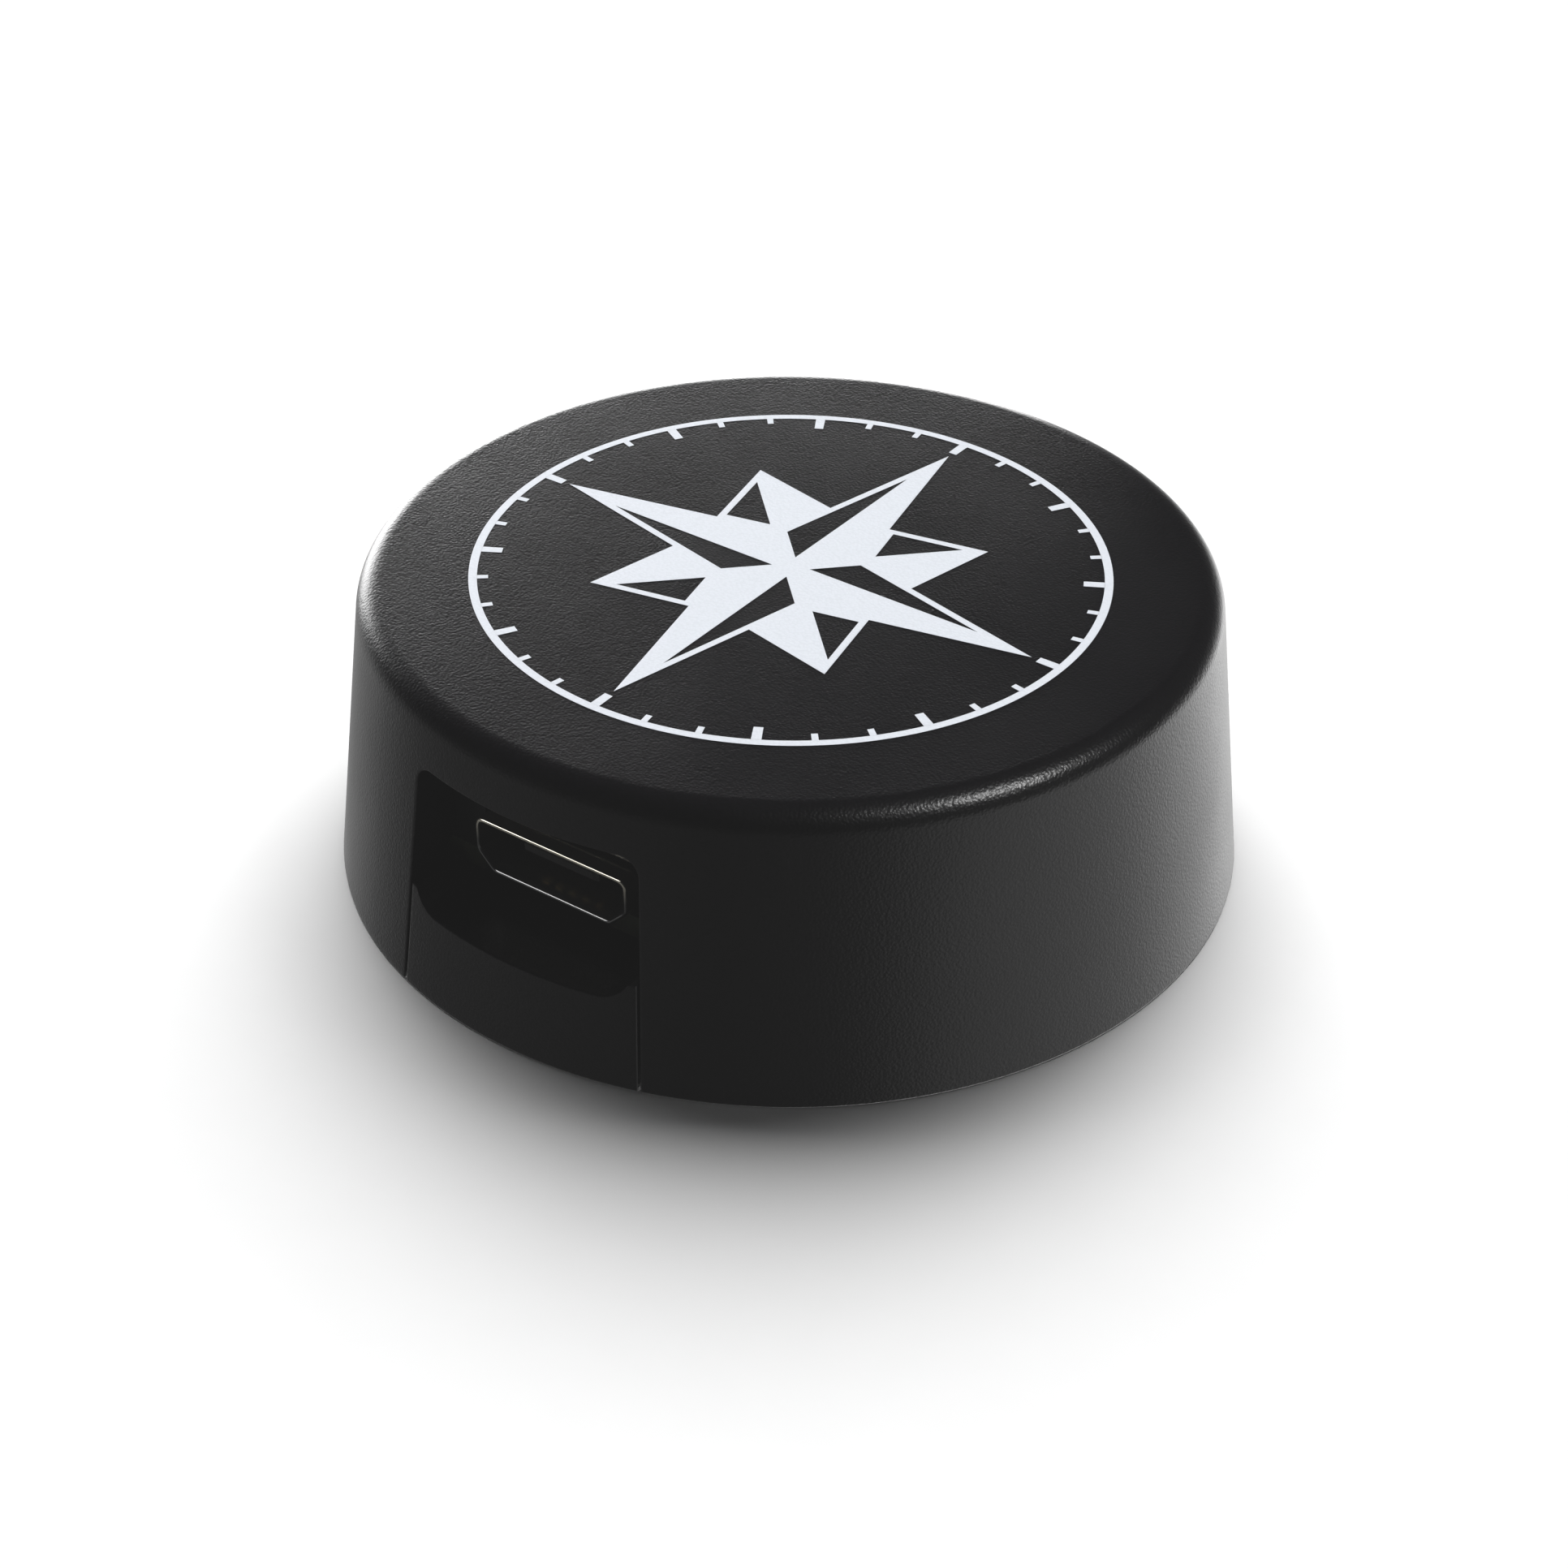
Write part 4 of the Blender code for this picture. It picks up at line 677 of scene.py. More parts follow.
connector_nylon = grained_plastic(
    "connector_nylon", (0.80, 0.78, 0.70), (0.70, 0.68, 0.60),
    roughness=0.45, specular=0.5, density=18000.0, depth=0.003 * mm,
)
dress(connector_nylon, "battery_socket", "battery_plug", "switch_plunger")
dress(contact_gold, "socket_pin_1", "socket_pin_2")
red_insulation = grained_plastic(
    "red_insulation", (0.56, 0.022, 0.02), (0.44, 0.015, 0.014),
    roughness=0.5, specular=0.4, density=9000.0, depth=0.004 * mm,
)
dress(red_insulation, "battery_lead_red")
black_insulation = grained_plastic(
    "black_insulation", (0.022, 0.022, 0.022), (0.013, 0.013, 0.013),
    roughness=0.5, specular=0.4, density=9000.0, depth=0.004 * mm,
)
dress(black_insulation, "battery_lead_black")

# ---------------------------------------------------------------- button and light
# The button is a moulded slot-shaped cap whose face follows the side wall, with a shallow
# finger dish. Beside it a clear acrylic rod carries the light through the wall. Each has a
# flange that holds it against the wall's inner face.

wall_thickness = 1.6 * mm
rear_z, light_x = 6.02 * mm, 5.4 * mm  # the height of both, and the light's place beside
button_run, button_radius, light_radius = 1.9 * mm, 1.2 * mm, 0.8 * mm


def inner_radius(z):
    """The wall's inner radius: the wall's thickness inside the outer one, measured level."""
    return outer_radius(z) - wall_thickness


def wall_plug(centre, run, radius, flange, inner_face, proud, ease, dish):
    """A plug through the rear wall, as rings of a slot outline.

    A ring is all the points at one distance from the slot's middle line. The face stands
    proud of the side wall and is eased at its edge. It sinks by the dish times the square of
    one less the square of the ring's share of the way out.
    """
    skin = Skin()
    right_end, left_end = np.linspace(-90, 90, 33), np.linspace(90, 270, 33)
    turn = np.radians(np.concatenate([right_end, left_end]))
    side = np.repeat([1.0, -1.0], [len(right_end), len(left_end)])

    def ring(reach, y_of):
        x = centre[0] + side * run + reach * np.cos(turn)
        z = centre[1] + reach * np.sin(turn)
        return np.stack([x, y_of(x, z), z], -1)

    def face(drop):
        return lambda x, z: np.sqrt((outer_radius(z) + proud) ** 2 - x**2) - drop

    def flange_front(x, z):
        return np.sqrt((inner_radius(z) - 0.05 * mm) ** 2 - x**2)

    def flat(x, z):
        return np.full_like(x, inner_face)

    level = radius - ease
    shares = (0, 0.2, 0.4, 0.6, 0.8, 0.92, 1)
    rings = [ring(level * share, face(dish * (1 - share**2) ** 2)) for share in shares]
    for bend in np.linspace(0, math.pi / 2, 7)[1:]:
        rings.append(ring(level + ease * math.sin(bend), face(ease * (1 - math.cos(bend)))))
    rings += [ring(radius, flange_front), ring(flange, flange_front), ring(flange, flat)]
    rings.append(ring(0.0, flat))
    skin.cover(ringed(skin.add(np.array(rings))))
    return skin


button_plastic = grained_plastic(
    "button_plastic", (0.019, 0.019, 0.020), (0.011, 0.011, 0.012),
    roughness=0.38, specular=0.5, density=11000.0, depth=0.006 * mm,
)
button_skin = wall_plug(
    (0, rear_z), button_run, button_radius, flange=2.0 * mm, inner_face=15.25 * mm,
    proud=0.3 * mm, ease=0.22 * mm, dish=0.12 * mm,
)
fit_piece(
    "button_cap", button_skin, button_plastic, "button_plastic", "power_button", body="button"
)

clear_acrylic, tree, shader = start_material("clear_acrylic", 0.12)
cloud = add_texture(tree, "ShaderNodeTexNoise", {"Scale": 2500.0, "Detail": 3.0})
rod_tone = mixed(tree, cloud.outputs["Fac"], (0.84, 0.87, 0.86), (0.78, 0.81, 0.80))
tree.links.new(rod_tone, shader.inputs["Base Color"])
shader.inputs["Transmission Weight"].default_value = 0.5
shader.inputs["IOR"].default_value = 1.49
polish = ranged(tree, cloud.outputs["Fac"], 0.16, 0.24, 0.35, 0.65)
tree.links.new(polish, shader.inputs["Roughness"])
rod_skin = wall_plug(
    (light_x, rear_z), 0.0, light_radius, flange=1.15 * mm, inner_face=14.85 * mm,
    proud=-0.02 * mm, ease=0.1 * mm, dish=-0.05 * mm,
)
fit_piece("light_rod", rod_skin, clear_acrylic, "clear_acrylic", "status_light_pipe")
dress(receptacle_plastic, "switch_body")
led_package = grained_plastic(
    "led_package", (0.86, 0.84, 0.72), (0.78, 0.75, 0.6),
    roughness=0.3, specular=0.5, density=20000.0, depth=0.002 * mm,
)
dress(led_package, "status_led")

# ---------------------------------------------------------------- case shell
# The cap, moulded in satin black plastic with a fine pebble grain. The port's window is an
# open notch with eased edges, and a block behind it carries the receptacle's slot.

case_height = 12.68 * mm  # the print lies on it, within the CAD height
edge_radius, roof_inside = 1.1 * mm, 11.3 * mm
inner_edge_radius, columns, wall_rows = 0.6 * mm, 360, 40
notch_top, notch_corner = 10.15 * mm, 0.9 * mm
block_low, block_back = 5.37 * mm, -13.7 * mm
foot_level = soft_edge * 1.001  # a point up to here lies on the eased foot of the wall


def fillet(radius, wall_radius, top, steps):
    """An arc from the drafted wall to the level top, as radii and heights from low to high."""
    turn = np.linspace(side_draft, math.pi / 2, steps + 1)
    middle_z = top - radius
    middle_r = wall_radius(middle_z) - radius / math.cos(side_draft)
    return middle_r + radius * np.cos(turn), middle_z + radius * np.sin(turn)


def wall_levels():
    """Outer rows from the inner foot round the base's edge up to the fillet's foot."""
    foot = rounding(
        np.array([[base_radius - soft_edge, 0.0]]),
        np.array([[base_radius, 0.0]]),
        np.array([[outer_radius(soft_edge), soft_edge]]),
    )[:, 0]
    low, high = soft_edge, case_height - edge_radius * (1 - math.sin(side_draft))
    z = np.linspace(low, high, wall_rows + 1)[1:]
    rise = np.stack([outer_radius(z), z], -1)
    return np.vstack([[[inner_radius(0), 0.0]], foot, rise])


def revolve(profile):
    """Rows of (radius, height) about +Z, one column a degree; the first faces the port."""
    turn = np.arange(columns) * 2 * math.pi / columns
    radius, height = profile[:, 0, None], profile[:, 1, None]
    return np.stack([radius * np.sin(turn), -radius * np.cos(turn), height + 0 * turn], -1)


def opening(skin, outer_edge, inner_edge, outline, closed):
    """A wall's opening, as rings of points from the wall's outer face to its inner face.

    outer_edge and inner_edge are the numbers round the gap that the two faces leave, and
    outline holds x, z and the outward direction for each. On the wall, a ring lies at a
    share of the way from the edge to the outline, in turn and height. The rings then round
    the outline's edge, run straight along Y, and spread over the inner face. A closed opening
    faces +Y; the other, the notch, faces -Y and ends in the wall's foot.
    """
    x, z, nx, nz = outline
    facing = 1 if closed else -1
    wall_shares, far_shares = (0.25, 0.5, 0.72, 0.88, 0.97), (0.2, 0.5, 0.8)

    def on_wall(turn, radius, height):
        return np.stack([radius * np.sin(turn), facing * radius * np.cos(turn), height], -1)

    def measures(points):
        turn = np.arctan2(points[:, 0], facing * points[:, 1])
        return turn, np.hypot(points[:, 0], points[:, 1]), points[:, 2]

    def at_outline(dx, dz, radius_at, foot):
        height = z + dz
        radius = np.where(height > foot_level, radius_at(height), foot)
        return np.arcsin((x + dx) / radius), radius, height

    edge_turn, edge_reach, edge_z = measures(skin.points[outer_edge])
    lip_rise = nz * soft_edge * (z > soft_edge)
    lip_turn, lip_reach, lip_z = at_outline(nx * soft_edge, lip_rise, outer_radius, edge_reach)
    rings = []
    for share in wall_shares:
        turn = edge_turn + share * (lip_turn - edge_turn)
        height = edge_z + share * (lip_z - edge_z)
        reach = np.where(height > foot_level, outer_radius(height), edge_reach)
        rings.append(on_wall(turn, reach, height))
    sharp = on_wall(*at_outline(0, 0, outer_radius, edge_reach))
    inside_turn = np.arcsin(x / inner_radius(z))
    inside = on_wall(inside_turn, inner_radius(z), z)
    if not closed:  # the port block stands in the notch
        at_block = np.maximum(inside[:, 1], block_face)
        inside[:, 1] = np.where(z > block_low, at_block, inside[:, 1])
    depth = np.minimum(soft_edge, np.abs(inside[:, 1] - sharp[:, 1]) / 2)
    deep = sharp + np.stack([0 * depth, -facing * depth, 0 * depth], -1)
    lip_rings = rounding(on_wall(lip_turn, lip_reach, lip_z), sharp, deep)
    rings += list(lip_rings)
    rings += [deep + share * (inside - deep) for share in (0.33, 0.67, 1.0)]
    turn_in, _, z_in = measures(skin.points[inner_edge])
    if not closed:  # the two faces meet in the wall's foot, point for point
        foot_points = np.array(rings)[: len(wall_shares) + len(lip_rings) - 1, 0]
        foot_turns = measures(foot_points)[0][::-1]
        far_shares = (foot_turns - inside_turn[0]) / (turn_in[0] - inside_turn[0])
    for share in far_shares:
        height = z + share * (z_in - z)
        turn = inside_turn + share * (turn_in - inside_turn)
        rings.append(on_wall(turn, inner_radius(height), height))
    chain = np.vstack([outer_edge, skin.add(np.array(rings)), inner_edge])
    skin.cover(ringed(chain) if closed else chain)


def path_points(points, normals, stops, counts):
    """Samples a dense path between its stops, a count of spans between each two.

    A stop is the number of a point, and the samples between two stops are equally far apart
    along the path. The columns are x, z and the normal's two parts.
    """
    steps = np.linalg.norm(np.diff(points, axis=0), axis=1)
    length = np.concatenate([[0], np.cumsum(steps)])
    ends = length[stops]
    at = [np.linspace(a, b, n + 1)[:-1] for a, b, n in zip(ends, ends[1:], counts)]
    at = np.concatenate([*at, ends[-1:]])
    return [np.interp(at, length, column) for column in np.hstack([points, normals]).T]


def notch_outline(rows_above, foot_heights, spans):
    """The notch from its left foot over the top to its right foot, with rounded top corners."""
    turn = np.linspace(math.pi - notch_draft, math.pi / 2, 17)
    bends = np.stack([np.cos(turn), np.sin(turn)], -1)
    middle_z = notch_top - notch_corner
    middle_x = notch_corner / math.cos(notch_draft) - notch_half_width(middle_z)
    start = [-notch_half_width(soft_edge), soft_edge]
    left = np.vstack([start, np.array([middle_x, middle_z]) + notch_corner * bends])
    left_normals = np.vstack([[-math.cos(notch_draft), math.sin(notch_draft)], bends])
    points = np.vstack([left, left[::-1] * (-1, 1)])
    normals = np.vstack([left_normals, left_normals[::-1] * (-1, 1)])
    mid_arc, last = len(bends) // 2 + 1, len(points) - 1
    stops, counts = [0, mid_arc, last - mid_arc, last], [rows_above, spans, rows_above]
    x, z, nx, nz = path_points(points, normals, stops, counts)
    side, one = notch_half_width(foot_heights), np.ones_like(foot_heights)
    x = np.concatenate([-side, x, side[::-1]])
    z = np.concatenate([foot_heights, z, foot_heights[::-1]])
    nx = np.concatenate([-one, nx, one])
    return x, z, nx, np.concatenate([0 * one, nz, 0 * one])


def slot_outline(centre, run, radius, across, up):
    """A slot with round ends, once round from its lower corner, seen from behind the case."""
    start, right_end = np.linspace(225, 270, 9), np.linspace(-90, 90, 33)
    finish = np.linspace(90, 225, 25)
    turn = np.radians(np.concatenate([start, right_end, finish]))
    side = np.repeat([-1.0, 1.0, -1.0], [len(start), len(right_end), len(finish)])
    normals = np.stack([np.cos(turn), np.sin(turn)], -1)
    points = normals * radius + np.stack([side * run, 0 * side], -1)
    stops = [0, 17, 33, 50, len(points) - 1]  # the points at 225, -45, 45, 135 and 225 degrees
    x, z, nx, nz = path_points(points, normals, stops, [across, up, across, up])
    return centre[0] - x[:-1], centre[1] + z[:-1], -nx[:-1], nz[:-1]


outer_rows = wall_levels()
top_of_wall = len(outer_rows) - 1
fillet_r, fillet_z = fillet(edge_radius, outer_radius, case_height, 16)
near_fillet = fillet_r[-1] - 0.05 * mm  # this ring keeps the flat top's shading flat
flat_r = np.array([near_fillet, 14 * mm, 10 * mm, 5 * mm, 0.0])
outer_profile = np.vstack(
    [
        outer_rows,
        np.stack([fillet_r[1:], fillet_z[1:]], -1),
        np.stack([flat_r, np.full_like(flat_r, case_height)], -1),
    ]
)
inner_r, inner_z = fillet(inner_edge_radius, inner_radius, roof_inside, 6)
inner_heights = np.linspace(0, inner_z[0], top_of_wall + 1)
inner_profile = np.vstack(
    [
        np.stack([inner_radius(inner_heights), inner_heights], -1),
        np.stack([inner_r[1:], inner_z[1:]], -1),
        [[10 * mm, roof_inside], [0.0, roof_inside]],
    ]
)
shell = Skin()
outer = shell.add(revolve(outer_profile))
inner = shell.add(revolve(inner_profile))
inner[0] = outer[0]
# First and last column, first and last row of each gap in the wall
port_gap, button_gap, light_gap = (-27, 27, 0, top_of_wall), (167, 193, 14, 29), (158, 167, 14, 29)
keep_outer = np.ones((len(outer_profile) - 1, columns), bool)
keep_inner = np.ones((len(inner_profile) - 1, columns), bool)
for first, last, low, high in (port_gap, button_gap, light_gap):
    across = np.arange(first, last) % columns
    keep_outer[low:high, across] = False
    keep_inner[low:high, across] = False
shell.cover(ringed(outer), keep_outer)
shell.cover(ringed(inner), keep_inner)


def gap_edge(numbers, first, last, low, high, closed):
    """The numbers round a gap: up, across and down the notch, or once round a hole."""
    around_gap = numbers[low : high + 1][:, np.arange(first, last + 1) % columns]
    if closed:
        return loop_of(around_gap)
    left, right = around_gap[:-1, 0], around_gap[:-1, -1]
    return np.concatenate([left, around_gap[-1], right[::-1]])


foot_heights = outer_rows[: top_of_wall - wall_rows, 1]
notch = notch_outline(wall_rows, foot_heights, port_gap[1] - port_gap[0])
gap_sizes = (button_gap[1] - button_gap[0], button_gap[3] - button_gap[2])
slot = slot_outline((0, rear_z), button_run, button_radius + 0.1 * mm, *gap_sizes)
gap_sizes = (light_gap[1] - light_gap[0], light_gap[3] - light_gap[2])
hole = slot_outline((light_x, rear_z), 0.0, light_radius + 0.05 * mm, *gap_sizes)
for gap, outline in ((port_gap, notch), (button_gap, slot), (light_gap, hole)):
    closed = gap != port_gap
    edges = [gap_edge(numbers, *gap, closed) for numbers in (outer, inner)]
    opening(shell, *edges, outline, closed)


def arch(half, foot, top, corner, steps=6):
    """An upside-down U: up one side, round two corners and down the other."""
    turn = np.linspace(math.pi, math.pi / 2, steps + 1)
    left = np.stack([corner * np.cos(turn) - half + corner, corner * np.sin(turn) + top - corner])
    left = np.hstack([[[-half], [foot]], left]).T
    return np.vstack([left, left[::-1] * (-1, 1)])


def port_block(skin):
    """The block behind the notch: an arch in front and behind, round the receptacle's slot."""
    slot_half, slot_top = port_half + 0.2 * mm, port_top + 0.2 * mm
    slot = arch(slot_half, block_low, slot_top, 0.35 * mm)
    lip = arch(slot_half + soft_edge, block_low, slot_top + soft_edge, 0.4 * mm)
    body = arch(7.4 * mm, block_low, 11.8 * mm, 0.4 * mm)

    def at(outline, y):
        return np.stack([outline[:, 0], np.full(len(outline), y), outline[:, 1]], -1)

    corner, deep = at(slot, block_face), at(slot, block_face + soft_edge)
    eased_lip = rounding(at(lip, block_face), corner, deep)
    behind = [at(slot, block_back), at(body, block_back)]
    numbers = skin.add(np.concatenate([[at(body, block_face)], eased_lip, behind]))
    skin.cover(np.vstack([numbers, numbers[:1]]))
    skin.cap(numbers[:, 0])
    skin.cap(numbers[:, -1])


port_block(shell)
boss_foot, boss_top = pad_top + 0.05 * mm, 12.0 * mm
boss_radius, insert_radius, insert_top = 1.95 * mm, 1.4 * mm, 5.45 * mm
for place in boss_places:
    boss = [(insert_radius, boss_foot, 0.1 * mm), (boss_radius, boss_foot, 0.1 * mm)]
    boss += [(boss_radius, boss_top, 0), (case_hole, boss_top, 0), (case_hole, insert_top, 0)]
    boss += [(insert_radius, insert_top, 0)]
    turned(shell, eased(boss), 36, place, ring=True)
fit_piece("case_shell_moulding", shell, case_plastic, "case_plastic", "case_shell")

# ---------------------------------------------------------------- printed compass rose
# A plain traditional compass rose, pad printed in matt white ink on the top: eight points,
# each half filled and half outlined, inside a ring of ticks at every ten degrees.

ink_low, ink_high = case_height - 0.004 * mm, case_height + 0.011 * mm
print_skin = Skin()


def print_shape(corners, line=0.0):
    """Ink over a triangle of (x, y) corners, or only along its edges at a line's width.

    The inner edge of the line is the triangle scaled about the centre of its inscribed
    circle, by the share of that circle's radius that the line leaves.
    """
    corners = np.array(corners)
    if not line:
        prism(print_skin, corners, ink_low, ink_high)
        return
    sides = np.linalg.norm(corners - np.roll(corners, -1, 0), axis=1)[[1, 2, 0]]
    middle = (corners * sides[:, None]).sum(0) / sides.sum()
    (ax, ay), (bx, by) = corners[1] - corners[0], corners[2] - corners[0]
    inscribed = abs(ax * by - ay * bx) / sides.sum()
    print_band(corners, middle + (corners - middle) * (1 - line / inscribed))


def print_band(outside, inside):
    """Ink between an outer and an inner closed outline of as many points."""
    rows = [(inside, ink_low), (outside, ink_low), (outside, ink_high), (inside, ink_high)]
    rows = [np.hstack([line, np.full((len(line), 1), z)]) for line, z in rows]
    numbers = print_skin.add(np.array(rows))
    print_skin.cover(ringed(np.vstack([numbers, numbers[:1]])))


def bearing(degrees, distance):
    """The point at a bearing, clockwise from +Y, and a distance in millimetres."""
    angle = math.radians(degrees)
    return np.array([math.sin(angle), math.cos(angle)]) * distance * mm


def crossing(a, b, c, d):
    """The point where the line through a and b meets the line through c and d."""
    (ux, uy), (vx, vy), (wx, wy) = b - a, d - c, c - a
    return a + (b - a) * (wx * vy - wy * vx) / (ux * vy - uy * vx)


main_tip, half_tip, waist, line = 11.6, 8.2, 3.0, 0.3 * mm
ring_outside, ring_inside, tick_start = 13.1, 12.75, 12.76
centre = np.zeros(2)
for quarter in range(0, 360, 90):
    for side in (1, -1):
        tip, shoulder = bearing(quarter, main_tip), bearing(quarter + 45 * side, waist)
        print_shape([centre, tip, shoulder], 0.0 if side > 0 else line)
        diagonal = bearing(quarter + 45 * side, half_tip)
        meet = crossing(tip, shoulder, centre, bearing(quarter + 17 * side, 1))
        print_shape([shoulder, diagonal, meet], line if side > 0 else 0.0)
circle = np.linspace(0, 2 * math.pi, 241)[:-1, None]
circle = np.hstack([np.sin(circle), np.cos(circle)])
print_band(circle * ring_outside * mm, circle * ring_inside * mm)
for degrees in range(0, 360, 10):
    tick_end, half_angle = (11.9, 0.9) if degrees % 30 == 0 else (12.3, 0.6)
    ends = [(degrees - half_angle, tick_start), (degrees + half_angle, tick_start)]
    ends += [(degrees + half_angle, tick_end), (degrees - half_angle, tick_end)]
    prism(print_skin, [bearing(*end) for end in ends], ink_low, ink_high)

print_ink, tree, shader = start_material("print_ink", 0.5, specular=0.4)
grain = place_node(tree, "ShaderNodeGroup", node_tree=grain_group)
grain.inputs["Density"].default_value = 8200.0
# Painted shade: the ink is darker in the low spots between pebbles.
shade = mixed(tree, grain.outputs["Shade_in_pits"], (0.665, 0.695, 0.745), (0.635, 0.665, 0.71))
add_finish(tree, shader, shade, None, grain.outputs["Height"], 0.004 * mm)
print_mesh = to_mesh("compass_rose_print", print_skin, merge=False)
fit_piece("compass_rose_print", print_mesh, print_ink, "print_ink")

# ---------------------------------------------------------------- screws
# Zinc-plated steel pan-head screws with cross recesses and rolled threads: four close the
# case from below, and four smaller ones hold the board on its standoffs.


def screw_mesh(place, head_face, facing, head_radius, head_height, radius, length, pitch):
    """A screw about an upright axis; its head faces +1 for up or -1 for down.

    The thread is a ridge on the shank: the radius falls from its crest by a triangle wave
    of the height less the turn's share of a pitch.
    """
    under = head_face - facing * head_height
    tip = under - facing * length
    neck_radius, neck_end = radius * 0.8, under - facing * 0.3 * mm
    head, cross, shank = Skin(), Skin(), Skin()
    profile = [(0, neck_end, 0), (neck_radius, neck_end, 0), (neck_radius, under, 0)]
    profile += [(head_radius, under, 0.08 * mm), (head_radius, head_face, head_height * 0.45)]
    turned(head, eased([*profile, (0, head_face, 0)], 5), 48, place)

    def cross_outline(inset):
        a, b = head_radius * 0.56 - inset, head_radius * 0.13 - inset / 3
        arm = np.array([(a, -b), (a, b), (b, b)])
        quarter_turn = np.array([(0, 1), (-1, 0)])
        arms = [arm @ np.linalg.matrix_power(quarter_turn, turns) for turns in range(4)]
        return np.vstack(arms) + place

    recess_end = head_face - facing * head_height * 0.62
    stations = [(head_face + facing * 0.5 * mm, 0), (head_face, 0), (recess_end, 0.12 * mm)]
    cross.fill(rows_at(cross_outline, stations, "Z"))
    rows = int(length / pitch * 10)  # ten rows to each turn of the thread
    z = np.linspace(under + facing * 0.1 * mm, tip, rows)[:, None]
    turn = np.linspace(0, 2 * math.pi, 33)[:-1]
    wave = np.abs(((z / pitch - turn / (2 * math.pi)) % 1) * 2 - 1)
    taper = np.clip(np.abs(z - tip) / (radius * 0.7), 0, 1) * 0.45 + 0.55
    reach = radius * taper - 0.25 * pitch * wave
    x, y = place[0] + reach * np.cos(turn), place[1] + reach * np.sin(turn)
    shank.fill(np.stack([x, y, z + 0 * turn], -1))
    headed = carve(to_mesh("screw", head), ("DIFFERENCE", cross))
    bm = bmesh.new()
    bm.from_mesh(headed)
    bm.from_mesh(to_mesh("shank", shank))
    bm.to_mesh(headed)
    bm.free()
    return headed


screw_steel = sheet_metal("screw_steel", (0.66, 0.66, 0.65), (0.46, 0.46, 0.47), 0.3, 12000.0)
insert_brass = sheet_metal(
    "insert_brass", (0.78, 0.58, 0.28), (0.62, 0.43, 0.18), 0.3, density=6000.0, depth=0.02 * mm
)
dress(insert_brass, *[f"brass_insert_{number}" for number in range(1, 5)])
closing = dict(
    head_face=0.15 * mm, facing=-1, head_radius=1.8 * mm, head_height=1.05 * mm,
    radius=0.95 * mm, length=6.0 * mm, pitch=0.45 * mm,
)
standoff = dict(
    head_face=6.17 * mm, facing=1, head_radius=1.4 * mm, head_height=0.9 * mm,
    radius=0.6 * mm, length=3.2 * mm, pitch=0.35 * mm,
)
for number in range(1, 5):
    for kind, made, sizes in (("case", "closing", closing), ("board", "standoff", standoff)):
        node = f"{kind}_screw_{number}"
        low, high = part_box(node)
        mesh = screw_mesh(((low[0] + high[0]) / 2, (low[1] + high[1]) / 2), **sizes)
        fit_piece(f"{made}_screw_{number}", mesh, screw_steel, "screw_steel", node)

# ---------------------------------------------------------------- room and camera
# A sheet of white paper, seen only from above, under one broad soft lamp that hangs behind
# the puck. The glossy plastic sees a dim room with a bright card on each side and a fainter
# one behind, two low boards behind the puck and one above its near edge. One more board
# before the port shines on the receptacle alone.

view = bpy.context.scene.view_settings
view.view_transform = "Standard"
view.use_curve_mapping = True  # a lens's haze before a white ground lifts the blacks
haze = 0.0105  # a share of white
view.curve_mapping.black_level = (-haze, -haze, -haze)
view.curve_mapping.update()
floor_z = -0.02 * mm
floor_corners = [(x, y, floor_z) for x, y in ((-3, -3), (3, -3), (3, 3), (-3, 3))]
floor_mesh = bpy.data.meshes.new("floor")
floor_mesh.from_pydata(floor_corners, [], [(0, 1, 2, 3)])
floor_paper, tree, shader = start_material("floor_paper", 0.9, specular=0.2)
fibre = add_texture(tree, "ShaderNodeTexNoise", {"Scale": 400.0, "Detail": 3.0})
fibre_tone = mixed(tree, fibre.outputs["Fac"], (0.86, 0.86, 0.86), (0.88, 0.88, 0.88))
tree.links.new(fibre_tone, shader.inputs["Base Color"])
clear = place_node(tree, "ShaderNodeBsdfTransparent").outputs[0]
one_sided = place_node(tree, "ShaderNodeMixShader")
from_below = place_node(tree, "ShaderNodeNewGeometry").outputs["Backfacing"]
for source, socket in ((from_below, 0), (shader.outputs[0], 1), (clear, 2)):
    tree.links.new(source, one_sided.inputs[socket])
tree.links.new(one_sided.outputs[0], tree.nodes["Material Output"].inputs["Surface"])
floor_mesh.materials.append(floor_paper)
floor = bpy.data.objects.new("floor", floor_mesh)
bpy.context.collection.objects.link(floor)
floor.visible_glossy = False

away = Vector((-0.583, 0.812, 0.0))  # level, from the camera's side to the far side
right = Vector((0.812, 0.583, 0.0))
up = Vector((0.0, 0.0, 1.0))

world = bpy.data.worlds.new("studio")
bpy.context.scene.world = world
world.use_nodes = True
world.cycles.sampling_method = "NONE"
tree = world.node_tree
direction = place_node(tree, "ShaderNodeTexCoord").outputs["Generated"]


def along_axis(axis):
    """How far a direction of the world points along an axis, from -1 to 1."""
    node = place_node(tree, "ShaderNodeVectorMath", {1: tuple(axis)}, operation="DOT_PRODUCT")
    tree.links.new(direction, node.inputs[0])
    return node.outputs["Value"]


def tones(value, stops):
    """A brightness for a value in 0..1, eased between stops of value and brightness."""
    node = place_node(tree, "ShaderNodeValToRGB")
    node.color_ramp.interpolation = "EASE"
    while len(node.color_ramp.elements) < len(stops):
        node.color_ramp.elements.new(0.5)
    for element, (at, tone) in zip(node.color_ramp.elements, sorted(stops.items())):
        element.position, element.color = at, (tone, tone, tone, 1)
    tree.links.new(value, node.inputs["Fac"])
    return node.outputs["Color"]


